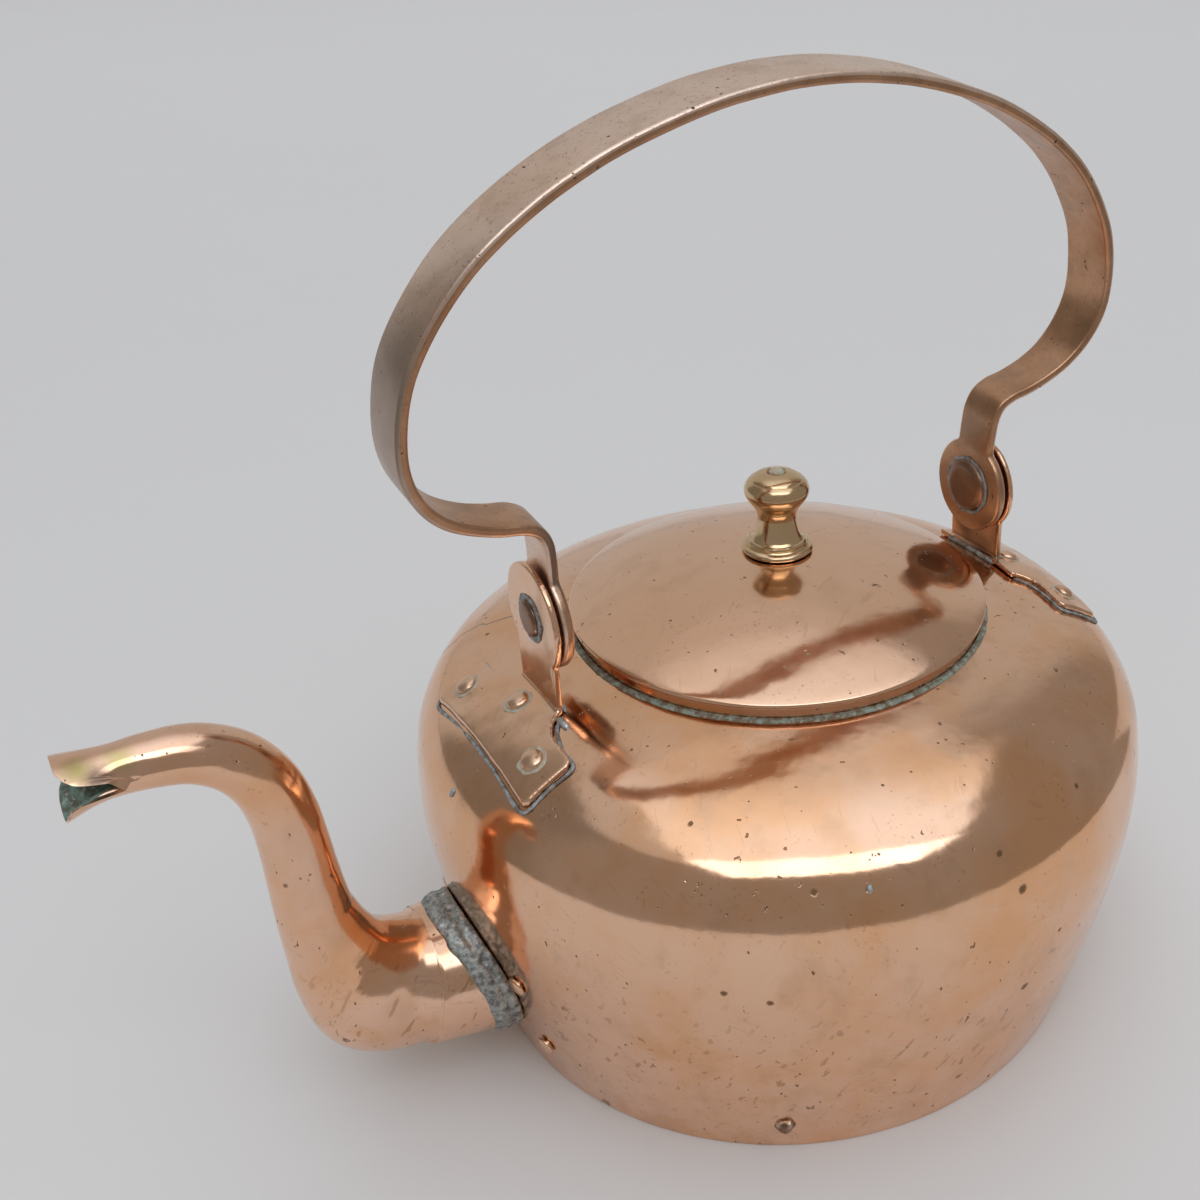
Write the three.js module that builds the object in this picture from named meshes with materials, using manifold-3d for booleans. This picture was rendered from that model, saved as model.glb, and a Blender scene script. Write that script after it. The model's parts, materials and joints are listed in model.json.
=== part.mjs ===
// Copper kettle with a riveted swing bail, a gooseneck spout and a lift-off domed lid.
// Millimetres, +Z up. The origin is the centre of the flat base. The spout points
// along -X, and the bail swings about an axis along X.

import * as THREE from 'three';
import { mergeVertices } from 'three/addons/utils/BufferGeometryUtils.js';
import Module from 'manifold-3d';

const wasm = await Module();
wasm.setup();

// ---- driving dimensions ----
const GAP = 0.3;                 // clearance left wherever two pieces meet
const SIDES = 40;                // facets round the body
const SPOUT_SIDES = 18;          // facets round the spout, and steps along it
const SPOUT_STEPS = 23;
const WALL = 1.5;                // sheet thickness of the body
const BODY = [                   // outer profile of the body, [radius, height]
  [110.1, 0], [111.6, 5.6], [114.8, 16.7], [119.2, 34.9], [123.4, 55.8], [126.2, 74],
  [126.9, 87], [126.0, 99], [123.6, 110], [117.4, 119.6], [109.4, 125.6], [99.4, 130.8],
  [85.0, 135.6], [70.0, 139.75],
];
const BODY_FOOT_WALL = 1.6;      // width of the body's foot, where it stands
const BOTTOM_R = 108.2;          // bottom plate, let into the foot of the body
const COLLAR_R = 69.6;           // neck collar: outer radius, foot and top heights
const COLLAR_Z = [131.5, 143.4];
const COLLAR_WALL = 1.2;
const BEAD = [[2.6, 139.6], [2.7, 140.3], [1.9, 141.1]]; // neck bead, [width past the collar, height]
const BEAD_Z = [141.5, 140.2];   // heights where the bead meets the collar

const LID_R = 70.9;              // lid: rim radius, rim heights, crown height
const LID_RIM_Z = [143.7, 145.3];
const LID_RIM_INNER_R = 68.6;
const LID_TOP_Z = 161.9;
const LID_SAG = 0.0033;          // fall of the lid per square millimetre of radius
const LID_WALL = 1.2;
const LID_HOLE_R = 2.7;          // hole for the knob's rivet
const LID_RINGS = [20, 37, 52, 64, 70];
const SKIRT_R = 67.9;            // skirt under the lid, a loose fit in the collar
const SKIRT_TOP_Z = 144.9;

const KNOB_Z = 162.25;           // underside of the knob
const KNOB = [                   // outline of the knob, [radius, height above its underside]
  [9, -0.2], [11.9, -0.45], [12.0, 1.0], [10.6, 1.9], [9.7, 2.3], [9.5, 3.5], [8.6, 4.1], [7.4, 6.6],
  [6.6, 10], [6.5, 12.2], [7.3, 14.2], [9.4, 17.2], [10.7, 19.6], [10.8, 21.6], [10.0, 23.6],
  [8.8, 24.8], [8.3, 25.1], [6.2, 26.6],
];
const KNOB_TOP = 27.4;
const KNOB_RIVET_R = 2.3;
const KNOB_RIVET_TAIL = [[0, 157.2], [4.2, 157.4], [4.4, 158.2]]; // [radius, height]
const KNOB_WASHER = [[8.5, 158.5], [8.5, 159.5], [LID_HOLE_R, 159.9]];

const PIVOT_Z = 163.4;           // height of the bail's pivot axis
const EAR_X = [82.65, 86.15];    // bail ear: inner and outer face
const WASHER_X = [86.45, 87.05];
const WASHER_R = 9.4;
const PLATE_X = [87.35, 89.35];  // upright of the bracket: inner and outer face
const PIVOT_SHANK_R = 4.0;
const PIVOT_HOLE_R = 4.5;
const PIVOT_INNER_HEAD = [[8.2, -2.2], [9.7, -0.3], [9.7, 0]]; // [radius, distance from the ear]
const PIVOT_OUTER_HEAD = [[5.9, 0], [5.7, 0.8], [3.4, 1.5], [0, 1.7]]; // from the bracket

const BAIL_T = 3.5;              // thickness of the bail's strap
const BAIL_STEPS = 32;           // steps along half of the strap
const BAIL_WIDTH = [             // width of the strap by height, [z, width]
  [160, 16.6], [196, 16.4], [203, 16.8], [212, 18.2], [225, 19.6], [240, 20.3], [280, 21.6],
  [320, 23.2],
];
const BAIL_SKEW = { from: 200, rise: 30, by: 1.4 }; // the hoop stands off to +X above this height
const BAIL_EAR_R = 17.2;
const BAIL_LEAN = 4.8;           // degrees that the bail stands off the vertical
const BAIL_LINE = [              // half of the strap's centre line, [x, z]
  [0, 315.1], [27, 312.8], [50, 307.3], [69, 300.4], [87.9, 290.2], [103.6, 278.3],
  [115.5, 264.1], [123.3, 249.6], [126.4, 232], [125.2, 222.6], [121.2, 214.2],
  [115.2, 207.8], [107.0, 203.2], [98.6, 200.4], [91.6, 198.9], [87.4, 196.4],
  [85.2, 192.0], [84.5, 186.0], [84.4, 180.0], [84.4, 168.0],
];

const BRACKET_T = 2.0;           // foot plate thickness, measured off the shoulder
const BRACKET_EAR_R = 17.6;
const STRAP_W = 26;              // upright strip between foot and ear
const STRAP_FOOT_Z = 125;        // the upright starts below the shoulder and is trimmed to it
const FOOT_X = [94.8, 111.2];    // foot plate in plan, inner and outer edge
const FOOT_HALF = 34.5;
const FOOT_CORNER = 1.6;
const NOTCH_R = 9.8;             // round notch between the foot and each edge of the upright
const FOOT_TURN = { left: 0, right: -7 }; // degrees that the foot is set round from the pivot
const HEEL = { x: [86, 98], y: [-13, 17.6] }; // pad that joins a turned foot to its upright
const FOOT_RIVETS = [[102.2, -24], [95.4, 1.5], [102.6, 26]]; // plan positions, [x, y]

const RIVET_SHANK_R = 1.75;
const RIVET_HOLE_R = 2.2;
const FOOT_RIVET = { r: 3.7, h: 1.9, outer: BRACKET_T + 2 * GAP + 0.15, inner: -WALL - GAP - 0.1 };
const SPOUT_RIVET = { r: 3.4, h: 1.5, outer: GAP + 0.05, inner: -WALL - 1.2 - 2 * GAP - 0.15 };

const SPOUT_Z = 42;              // height of the spout's root axis
const SPOUT_WALL = 1.2;
const SPOUT = [                  // centre line and outer radius, [x, z, radius]
  [-112, 42, 24.6], [-121, 42, 24.6], [-133, 41.8, 24.9], [-144.5, 41.8, 25.0],
  [-154, 43.8, 23.4], [-160.6, 49.6, 19.9], [-164.8, 59.5, 16.3], [-167.2, 72, 13.5],
  [-168.7, 86, 11.5], [-169.5, 100, 10.5], [-170.0, 113, 10.0], [-171.0, 125, 9.7],
  [-174.2, 137.3, 9.4], [-180.8, 147.4, 9.0], [-190.3, 153.6, 8.4], [-201, 155.6, 7.9],
  [-211, 155.9, 7.9], [-218, 155.8, 8.0], [-225.5, 155.2, 9.0],
];
const CREASE = 0.85;             // tightest bend of the spout's inner side before it creases
const MOUTH_NOTCH = [            // narrow cut that parts a long upper lip from a scooped lower one, [x, z]
  [-208.7, 155.5], [-212.6, 156.6], [-216.2, 157.9], [-219.3, 158.9], [-221.2, 161.2], [-222.6, 163.8],
  [-222.4, 168], [-229, 168], [-229, 144], [-225.2, 144], [-224.6, 147.5], [-223.6, 150.7], [-221.5, 154.2],
  [-219, 155.6], [-214, 155.8],
];
const BAND = [[-118, 1.6], [-123, 2.1], [-129, 2.2], [-132, 1.1]]; // solder at the root, [x, height]
const BAND_SINK = 0.5;           // the band's inner side starts this far under the spout's skin
const SPOUT_HOLE_R = 21;         // hole in the body behind the spout
const FLANGE_R = [22.2, 41];     // stiffening ring inside the body, round that hole
const FLANGE_T = 1.2;
const SPOUT_RIVETS = [[-29.8, 51.8], [-29.6, 21], [29.8, 51.8], [29.6, 21]]; // [y, z]

// ---- materials ----
function metal(colour, roughness, metalness = 1) {
  return new THREE.MeshStandardMaterial({ color: colour, roughness, metalness });
}
const copper = metal(0xb98466, 0.24);
const darkCopper = metal(0x85553a, 0.38);
const brass = metal(0xa98a58, 0.26);
const solder = metal(0x6f7a7d, 0.62, 0.8);
const verdigris = metal(0x6f8275, 0.8, 0.3);

// ---- helpers ----
const kettle = new THREE.Group();
const radians = THREE.MathUtils.degToRad;
const point2 = ([x, y]) => new THREE.Vector2(x, y);

// Merges shared vertices, drops empty triangles and turns the faces outward.
function closed(geometry) {
  const bare = geometry.clone();
  for (const name of Object.keys(bare.attributes)) {
    if (name !== 'position') bare.deleteAttribute(name);
  }
  const merged = mergeVertices(bare, 1e-4);
  const position = merged.attributes.position;
  const from = merged.index.array;
  const kept = [];
  const a = new THREE.Vector3();
  const b = new THREE.Vector3();
  const c = new THREE.Vector3();
  let volume = 0;
  for (let i = 0; i < from.length; i += 3) {
    const [u, v, w] = [from[i], from[i + 1], from[i + 2]];
    if (u === v || v === w || u === w) continue;
    kept.push(u, v, w);
    a.fromBufferAttribute(position, u);
    b.fromBufferAttribute(position, v);
    c.fromBufferAttribute(position, w);
    volume += a.dot(b.cross(c));
  }
  if (volume < 0) {
    for (let i = 0; i < kept.length; i += 3) [kept[i], kept[i + 1]] = [kept[i + 1], kept[i]];
  }
  merged.setIndex(kept);
  return merged;
}

function solid(geometry) {
  const g = closed(geometry);
  return new wasm.Manifold(new wasm.Mesh({
    numProp: 3,
    vertProperties: Float32Array.from(g.attributes.position.array),
    triVerts: Uint32Array.from(g.index.array),
  }));
}

function fromSolid(shape) {
  const mesh = shape.getMesh();
  const g = new THREE.BufferGeometry();
  g.setAttribute('position', new THREE.BufferAttribute(Float32Array.from(mesh.vertProperties), 3));
  g.setIndex(Array.from(mesh.triVerts));
  return g;
}

function add(name, geometry, material, parent = kettle) {
  const g = closed(geometry);
  g.computeVertexNormals();
  const mesh = new THREE.Mesh(g, material);
  mesh.name = name;
  parent.add(mesh);
  return mesh;
}

// Solid of revolution about +Z from [radius, height] points that start and end on the axis.
function turned(points, segments) {
  return new THREE.LatheGeometry(points.map(point2), segments).rotateX(Math.PI / 2);
}

// The same for a profile that closes on itself, off the axis.
const ring = (points, segments) => turned([...points, points[0]], segments);

// Ring of square section between two radii and two heights.
const band = ([r0, r1], [z0, z1], segments) => ring([[r0, z0], [r1, z0], [r1, z1], [r0, z1]], segments);

// Extrusion along +X between two planes of a shape drawn in (y, z).
function slabX(shape, x0, x1, curveSegments = 12) {
  const g = new THREE.ExtrudeGeometry(shape, { depth: x1 - x0, bevelEnabled: false, curveSegments });
  const turn = new THREE.Matrix4().makeBasis(
    new THREE.Vector3(0, 1, 0), new THREE.Vector3(0, 0, 1), new THREE.Vector3(1, 0, 0));
  return g.applyMatrix4(turn).translate(x0, 0, 0);
}

// Cylinder along X.
function rodX(r, x0, x1, segments) {
  return new THREE.CylinderGeometry(r, r, x1 - x0, segments).rotateZ(-Math.PI / 2)
    .translate((x0 + x1) / 2, 0, 0);
}

// Offsets an open [r, z] profile along its normals, outward for a positive distance.
function offset(profile, distance) {
  return profile.map(([r, z], i) => {
    const [r0, z0] = profile[Math.max(i - 1, 0)];
    const [r1, z1] = profile[Math.min(i + 1, profile.length - 1)];
    const l = Math.hypot(r1 - r0, z1 - z0);
    return [r + distance * (z1 - z0) / l, z - distance * (r1 - r0) / l];
  });
}

// Value between the two entries of a table that v lies between; key and value pick the columns.
function between(table, v, key, value) {
  const i = Math.max(table.findIndex((row) => v <= row[key]), 1);
  const t = (v - table[i - 1][key]) / (table[i][key] - table[i - 1][key]);
  return THREE.MathUtils.lerp(table[i - 1][value], table[i][value], t);
}

// ---- the body's surface ----
const BODY_TOP = BODY[BODY.length - 1];
const bodyRadius = (z) => (z > BODY_TOP[1] ? BODY_TOP[0] : between(BODY, z, 1, 0));

// Height of the shoulder at a radius.
function bodyHeight(r) {
  const shoulder = BODY.filter(([, z]) => z > 90).reverse();
  return between(shoulder, r, 0, 1);
}

function bodyNormal(x, y, z) {
  const step = 2;
  const slope = (bodyRadius(z + step) - bodyRadius(z - step)) / (2 * step);
  const r = Math.hypot(x, y);
  return new THREE.Vector3(x / r, y / r, -slope).normalize();
}

// Solid filled out to the body's surface plus a distance.
function bodyFill(distance) {
  const side = offset(BODY, distance);
  const below = -8;
  const top = side[side.length - 1][1] + 0.01;
  return solid(turned([[0, below], [side[0][0], below], ...side, [0, top]], SIDES));
}

// Places a piece drawn along +Z so that it stands on the body at (x, y, z).
function onBody(geometry, x, y, z) {
  const up = new THREE.Vector3(0, 0, 1);
  const turn = new THREE.Quaternion().setFromUnitVectors(up, bodyNormal(x, y, z));
  return geometry.applyQuaternion(turn).translate(x, y, z);
}

function rivetHole(x, y, z) {
  const drill = new THREE.CylinderGeometry(RIVET_HOLE_R, RIVET_HOLE_R, 16, 10).rotateX(Math.PI / 2);
  return solid(onBody(drill, x, y, z));
}

// Domed head outside, shank, and a burred tail inside.
function rivet({ r, h, outer, inner }) {
  return turned([
    [0, inner - 0.8], [r * 0.8, inner - 0.7], [r * 0.85, inner], [RIVET_SHANK_R, inner],
    [RIVET_SHANK_R, outer], [r, outer], [r, outer + 0.35], [r * 0.78, outer + h * 0.66],
    [r * 0.45, outer + h * 0.93], [0, outer + h],
  ], 10);
}

const outerFill = bodyFill(GAP);
const plateFill = bodyFill(GAP + BRACKET_T);

// ---- body shell, drilled by the pieces below before it is added ----
const lining = offset(BODY, -WALL);
lining[0] = [BODY[0][0] - BODY_FOOT_WALL, 0];
lining[lining.length - 1] = [COLLAR_R + GAP, BODY_TOP[1] - WALL];
const skin = [...BODY.slice(0, -1), [COLLAR_R + GAP, BODY_TOP[1]]];
let body = solid(ring([...skin, ...lining.slice().reverse()], SIDES));

// ---- spout ----
const gooseneckLine = (stations) => new THREE.CatmullRomCurve3(
  stations.map(([x, z, r]) => new THREE.Vector3(x, z, r)), false, 'centripetal');

// How sharply the line bends at t, in radians per millimetre, positive to the left.
function bendAt(line, t) {
  const step = 0.02;
  const t0 = Math.max(t - step, 0);
  const t1 = Math.min(t + step, 1);
  const before = line.getTangent(t0);
  const after = line.getTangent(t1);
  const turn = Math.atan2(after.y, after.x) - Math.atan2(before.y, before.x);
  const wrapped = Math.atan2(Math.sin(turn), Math.cos(turn));
  return wrapped / line.getPoint(t0).distanceTo(line.getPoint(t1));
}

// A section swept along the gooseneck: a turned tube, or a turned bar where wall is 0, bent onto
// the line. The curve's x and y are the line's x and z, and its z is the radius.
function gooseneck(stations, wall) {
  const line = gooseneckLine(stations);
  const profile = [];
  for (let i = 0; i <= SPOUT_STEPS; i += 1) {
    profile.push(new THREE.Vector2(line.getPoint(i / SPOUT_STEPS).z, i / SPOUT_STEPS));
  }
  if (wall) {
    for (const p of profile.slice().reverse()) profile.push(new THREE.Vector2(p.x - wall, p.y));
    profile.push(profile[0].clone());
  } else {
    profile.unshift(new THREE.Vector2(0, 0));
    profile.push(new THREE.Vector2(0, 1));
  }
  const g = new THREE.LatheGeometry(profile, SPOUT_SIDES);
  const position = g.attributes.position;
  const step = 0.004;
  for (let i = 0; i < position.count; i += 1) {
    const t = THREE.MathUtils.clamp(position.getY(i), 0, 1);
    const here = line.getPoint(t);
    const way = line.getPoint(Math.min(t + step, 1)).sub(line.getPoint(Math.max(t - step, 0)));
    way.setZ(0).normalize();
    const bend = bendAt(line, t);
    const side = position.getX(i);
    const crease = side * bend > 0 ? Math.min(1, CREASE / (Math.abs(bend) * here.z)) : 1;
    const out = side * crease;
    position.setXYZ(i, here.x - way.y * out, position.getZ(i), here.y + way.x * out);
  }
  return g;
}

const lips = new THREE.ExtrudeGeometry(new THREE.Shape(MOUTH_NOTCH.map(point2)), {
  depth: 40, bevelEnabled: false,
}).rotateX(Math.PI / 2).translate(0, 20, 0);
const spout = solid(gooseneck(SPOUT, SPOUT_WALL)).subtract(outerFill).subtract(solid(lips));
add('spout_tube', fromSolid(spout), copper);

// Ring about the spout's root axis from [x, radius] points.
function aboutRoot(points) {
  return ring(points.map(([x, r]) => [r, -x]), 20).rotateY(-Math.PI / 2).translate(0, 0, SPOUT_Z);
}

// Lead-tin band wiped round the root.
const rootR = (x) => between(SPOUT.map(([sx, , r]) => [-sx, r]), -x, 0, 1);
const bandOuter = BAND.map(([x, h]) => [x, rootR(x) + GAP + h]);
const bandInner = [BAND[BAND.length - 1], BAND[0]].map(([x]) => [x, rootR(x) + GAP - BAND_SINK]);
const spoutFill = solid(gooseneck(SPOUT.map(([x, z, r]) => [x, z, r + GAP]), 0));
const rootBand = solid(aboutRoot([...bandOuter, ...bandInner])).subtract(outerFill).subtract(spoutFill);
add('spout_solder_band', fromSolid(rootBand), solder);

// Stiffening ring that backs the hole from inside.
const flangeOuter = offset(BODY, -WALL - GAP).slice(1, 9);
const flangeInner = offset(BODY, -WALL - GAP - FLANGE_T).slice(1, 9);
const flangeCut = aboutRoot([
  [-90, FLANGE_R[0]], [-140, FLANGE_R[0]], [-140, FLANGE_R[1]], [-90, FLANGE_R[1]],
]);
let flange = solid(ring([...flangeOuter, ...flangeInner.reverse()], SIDES)).intersect(solid(flangeCut));
body = body.subtract(solid(rodX(SPOUT_HOLE_R, -140, -90, 20).translate(0, 0, SPOUT_Z)));

SPOUT_RIVETS.forEach(([y, z], i) => {
  const x = -Math.sqrt(bodyRadius(z) ** 2 - y * y);
  body = body.subtract(rivetHole(x, y, z));
  flange = flange.subtract(rivetHole(x, y, z));
  add(`spout_rivet_${i + 1}`, onBody(rivet(SPOUT_RIVET), x, y, z), copper);
});
add('spout_flange', fromSolid(flange), darkCopper);

// ---- brackets ----
// Plan of the foot plate: a rectangle with cut corners and a round notch beside the upright.
function footPlan() {
  const plan = new THREE.Shape();
  const [x0, x1] = FOOT_X;
  const w = STRAP_W / 2;
  const notchX = x0 - NOTCH_R;
  const notchY = w + NOTCH_R;
  const reach = Math.acos((PLATE_X[0] - notchX) / NOTCH_R);
  plan.moveTo(PLATE_X[0], -w);
  plan.absarc(notchX, -notchY, NOTCH_R, reach, 0, true);
  plan.lineTo(x0, -FOOT_HALF + FOOT_CORNER);
  plan.lineTo(x0 + FOOT_CORNER, -FOOT_HALF);
  plan.lineTo(x1 - FOOT_CORNER, -FOOT_HALF);
  plan.lineTo(x1, -FOOT_HALF + FOOT_CORNER);
  plan.lineTo(x1, FOOT_HALF - FOOT_CORNER);
  plan.lineTo(x1 - FOOT_CORNER, FOOT_HALF);
  plan.lineTo(x0 + FOOT_CORNER, FOOT_HALF);
  plan.lineTo(x0, FOOT_HALF - FOOT_CORNER);
  plan.absarc(notchX, notchY, NOTCH_R, 0, -reach, true);
  plan.lineTo(PLATE_X[0], w);
  return plan;
}

// Outline of the upright and its round ear, in (y, z).
function uprightOutline() {
  const outline = new THREE.Shape();
  const w = STRAP_W / 2;
  const join = Math.asin(w / BRACKET_EAR_R);
  const start = join - Math.PI / 2;
  outline.moveTo(-w, STRAP_FOOT_Z);
  outline.lineTo(w, STRAP_FOOT_Z);
  outline.absarc(0, PIVOT_Z, BRACKET_EAR_R, start, Math.PI - start, false);
  return outline;
}

// The bracket on the +X side, its foot turned by that many degrees.
function bracket(turn) {
  const prism = (shape) => new THREE.ExtrudeGeometry(shape, {
    depth: 60, bevelEnabled: false, curveSegments: 6,
  }).translate(0, 0, 100);
  let foot = solid(prism(footPlan()).rotateZ(radians(turn)));
  if (turn) {
    const [x0, x1] = HEEL.x;
    const [y0, y1] = HEEL.y;
    const heel = new THREE.Shape([[x0, y0], [x1, y0], [x1, y1], [x0, y1]].map(point2));
    foot = foot.add(solid(prism(heel)));
  }
  const upright = solid(slabX(uprightOutline(), ...PLATE_X, 14));
  const hole = rodX(PIVOT_SHANK_R + GAP + 0.1, 80, 95, 20).translate(0, 0, PIVOT_Z);
  return foot.intersect(plateFill).add(upright).subtract(outerFill).subtract(solid(hole));
}

for (const [name, side] of [['left', -1], ['right', 1]]) {
  const turn = FOOT_TURN[name];
  let plate = bracket(turn);
  if (side < 0) plate = plate.mirror([1, 0, 0]);
  FOOT_RIVETS.forEach((plan, i) => {
    const spot = point2(plan).rotateAround(new THREE.Vector2(), radians(turn));
    const at = [side * spot.x, spot.y, bodyHeight(spot.length())];
    body = body.subtract(rivetHole(...at));
    plate = plate.subtract(rivetHole(...at));
    add(`${name}_bracket_rivet_${i + 1}`, onBody(rivet(FOOT_RIVET), ...at), copper);
  });
  add(`${name}_bracket`, fromSolid(plate), copper);

  const innerFace = EAR_X[0] - GAP;
  const outerFace = PLATE_X[1] + GAP;
  const innerHead = PIVOT_INNER_HEAD.map(([r, away]) => [r, innerFace + away]);
  const pin = turned([
    [0, innerHead[0][1]], ...innerHead, [PIVOT_SHANK_R, innerFace], [PIVOT_SHANK_R, outerFace],
    ...PIVOT_OUTER_HEAD.map(([r, away]) => [r, outerFace + away]),
  ], 18);
  const washer = band([PIVOT_HOLE_R, WASHER_R], WASHER_X, 18);
  const pivots = [
    add(`${name}_pivot_washer`, washer, solder),
    add(`${name}_pivot_rivet`, pin, darkCopper),
  ];
  for (const piece of pivots) {
    piece.rotation.y = side * Math.PI / 2;
    piece.position.z = PIVOT_Z;
  }
}

// ---- body, bottom and neck ----
add('body_shell', fromSolid(body), copper);
add('bottom_plate', turned([[0, 0], [BOTTOM_R, 0], [BOTTOM_R, WALL], [0, WALL]], SIDES), copper);
const seamR = offset(BODY, -WALL)[1][0];
const seamZ = WALL + GAP;
add('bottom_seam_ring', ring([
  [BOTTOM_R - 9, seamZ], [seamR - 1.6, seamZ], [seamR - 0.9, seamZ + 2.4], [BOTTOM_R - 6, seamZ + 1.2],
], SIDES), solder);
add('neck_collar', band([COLLAR_R - COLLAR_WALL, COLLAR_R], COLLAR_Z, SIDES), copper);
const beadR = COLLAR_R + GAP;
add('neck_solder_bead', ring([
  [beadR, BEAD_Z[1]], ...BEAD.map(([w, z]) => [COLLAR_R + w, z]), [beadR, BEAD_Z[0]],
], SIDES), verdigris);

// ---- lid ----
const lid = new THREE.Group();
kettle.add(lid);
const crown = (r) => LID_TOP_Z - LID_SAG * r * r;
const lidTop = [LID_HOLE_R, ...LID_RINGS].map((r) => [r, crown(r)]);
const lidUnder = lidTop.slice(0, -1).reverse().map(([r, z]) => [r, z - LID_WALL]);
add('lid_dome', ring([
  ...lidTop, [LID_R, LID_RIM_Z[1]], [LID_R, LID_RIM_Z[0]], [LID_RIM_INNER_R, LID_RIM_Z[0]],
  [LID_RIM_INNER_R - 0.1, crown(LID_RIM_INNER_R) - LID_WALL], ...lidUnder,
], SIDES), copper, lid);
add('lid_skirt', band([SKIRT_R - 1.2, SKIRT_R], [COLLAR_Z[0] + 1, SKIRT_TOP_Z], SIDES), copper, lid);
add('lid_knob', ring([
  [LID_HOLE_R, KNOB_Z], ...KNOB.map(([r, z]) => [r, KNOB_Z + z]), [LID_HOLE_R, KNOB_Z + KNOB_TOP],
], 20), brass, lid);
add('knob_rivet', turned([
  ...KNOB_RIVET_TAIL, [KNOB_RIVET_R, KNOB_RIVET_TAIL[2][1]], [KNOB_RIVET_R, KNOB_Z + KNOB_TOP + 0.5],
  [1.6, KNOB_Z + KNOB_TOP + 0.9], [0, KNOB_Z + KNOB_TOP + 1.1],
], 16), brass, lid);
add('knob_washer', ring([[LID_HOLE_R, KNOB_WASHER[0][1]], ...KNOB_WASHER], 20), copper, lid);

// ---- bail ----
const bail = new THREE.Group();
bail.position.z = PIVOT_Z;
bail.rotation.x = radians(BAIL_LEAN);
kettle.add(bail);

// Half of the strap's outline, [outer side, inner side], from the top of the hoop to the ear.
function halfStrap() {
  const overTop = BAIL_LINE.slice(1, 3).reverse().map(([x, z]) => [-x, z]);
  const line = new THREE.CatmullRomCurve3(
    [...overTop, ...BAIL_LINE].map(([x, z]) => new THREE.Vector3(x, 0, z)), false, 'centripetal');
  const spans = overTop.length + BAIL_LINE.length - 1;
  const outer = [];
  const inner = [];
  for (let i = 0; i <= BAIL_STEPS; i += 1) {
    const t = THREE.MathUtils.lerp(overTop.length / spans, 1, i / BAIL_STEPS);
    const p = line.getPoint(t);
    const way = line.getTangent(t);
    outer.push([p.x - way.z * BAIL_T / 2, p.z + way.x * BAIL_T / 2]);
    inner.push([p.x + way.z * BAIL_T / 2, p.z - way.x * BAIL_T / 2]);
  }
  outer[0][0] = 0;
  inner[0][0] = 0;
  return [outer, inner];
}

function bailHandle() {
  const [outer, inner] = halfStrap();
  const mirrored = (side) => side.slice(1).map(([x, z]) => [-x, z]);
  const outline = [...outer, ...inner.slice().reverse(), ...mirrored(inner), ...mirrored(outer).reverse()];
  const { from, rise, by } = BAIL_SKEW;
  const skew = (z) => by * THREE.MathUtils.smoothstep(z, from, from + rise);
  const side = new THREE.Shape(outline.map(([x, z]) => new THREE.Vector2(x + skew(z), z - PIVOT_Z)));
  const strap = new THREE.ExtrudeGeometry(side, { depth: 30, bevelEnabled: false })
    .rotateX(Math.PI / 2).translate(0, 15, 0);
  const taper = new THREE.Shape([
    ...BAIL_WIDTH.map(([z, w]) => new THREE.Vector2(w / 2, z - PIVOT_Z)),
    ...BAIL_WIDTH.slice().reverse().map(([z, w]) => new THREE.Vector2(-w / 2, z - PIVOT_Z)),
  ]);
  let handle = solid(strap).intersect(solid(slabX(taper, -140, 140)));
  for (const s of [-1, 1]) handle = handle.add(solid(rodX(BAIL_EAR_R, ...EAR_X, 28).scale(s, 1, 1)));
  for (const s of [-1, 1]) handle = handle.subtract(solid(rodX(PIVOT_HOLE_R, 78, 92, 20).scale(s, 1, 1)));
  return fromSolid(handle);
}
add('bail_handle', bailHandle(), darkCopper, bail);

export default kettle;
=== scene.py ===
import json
import math

import bmesh
import bpy
from mathutils import Matrix, Vector, noise


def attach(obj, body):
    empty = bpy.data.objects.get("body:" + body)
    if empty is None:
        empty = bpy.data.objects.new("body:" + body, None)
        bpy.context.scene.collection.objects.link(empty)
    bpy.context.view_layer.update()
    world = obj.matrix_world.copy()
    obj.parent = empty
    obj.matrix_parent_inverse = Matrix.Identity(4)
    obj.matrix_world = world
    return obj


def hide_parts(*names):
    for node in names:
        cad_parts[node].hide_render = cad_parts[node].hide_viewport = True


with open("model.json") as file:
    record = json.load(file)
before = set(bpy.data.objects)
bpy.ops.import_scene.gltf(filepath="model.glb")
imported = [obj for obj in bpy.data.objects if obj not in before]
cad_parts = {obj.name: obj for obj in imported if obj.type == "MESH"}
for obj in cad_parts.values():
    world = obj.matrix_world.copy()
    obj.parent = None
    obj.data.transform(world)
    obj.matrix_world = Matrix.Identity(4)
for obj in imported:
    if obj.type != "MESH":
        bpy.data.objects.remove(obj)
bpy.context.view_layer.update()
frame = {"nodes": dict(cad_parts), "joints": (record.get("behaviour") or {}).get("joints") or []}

# ---- sizes, in millimetres, in the frame's own axes ----
MM = 0.001
PIVOT_Z = next(j for j in frame["joints"] if j["name"] == "bail_swing")["pos_m"][2] / MM
BODY = [  # outer profile of the body, (radius, height)
    (110.1, 0), (111.6, 5.6), (114.8, 16.7), (119.2, 34.9), (123.4, 55.8), (126.2, 74), (126.9, 87),
    (126.0, 99), (123.6, 110), (117.4, 119.6), (109.4, 125.6), (99.4, 130.8), (85.0, 135.6), (70.0, 139.75),
]
WALL = 1.5
COLLAR_R = 69.6
LID_R = 70.9
LID_TOP = 161.9
LID_SAG = 0.0033
EAR_X = (82.65, 86.15)
PLATE_X = (87.35, 89.35)
EAR_R = 17.2
BAIL_T = 3.5
BAIL_LEAN = math.radians(4.8)
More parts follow.
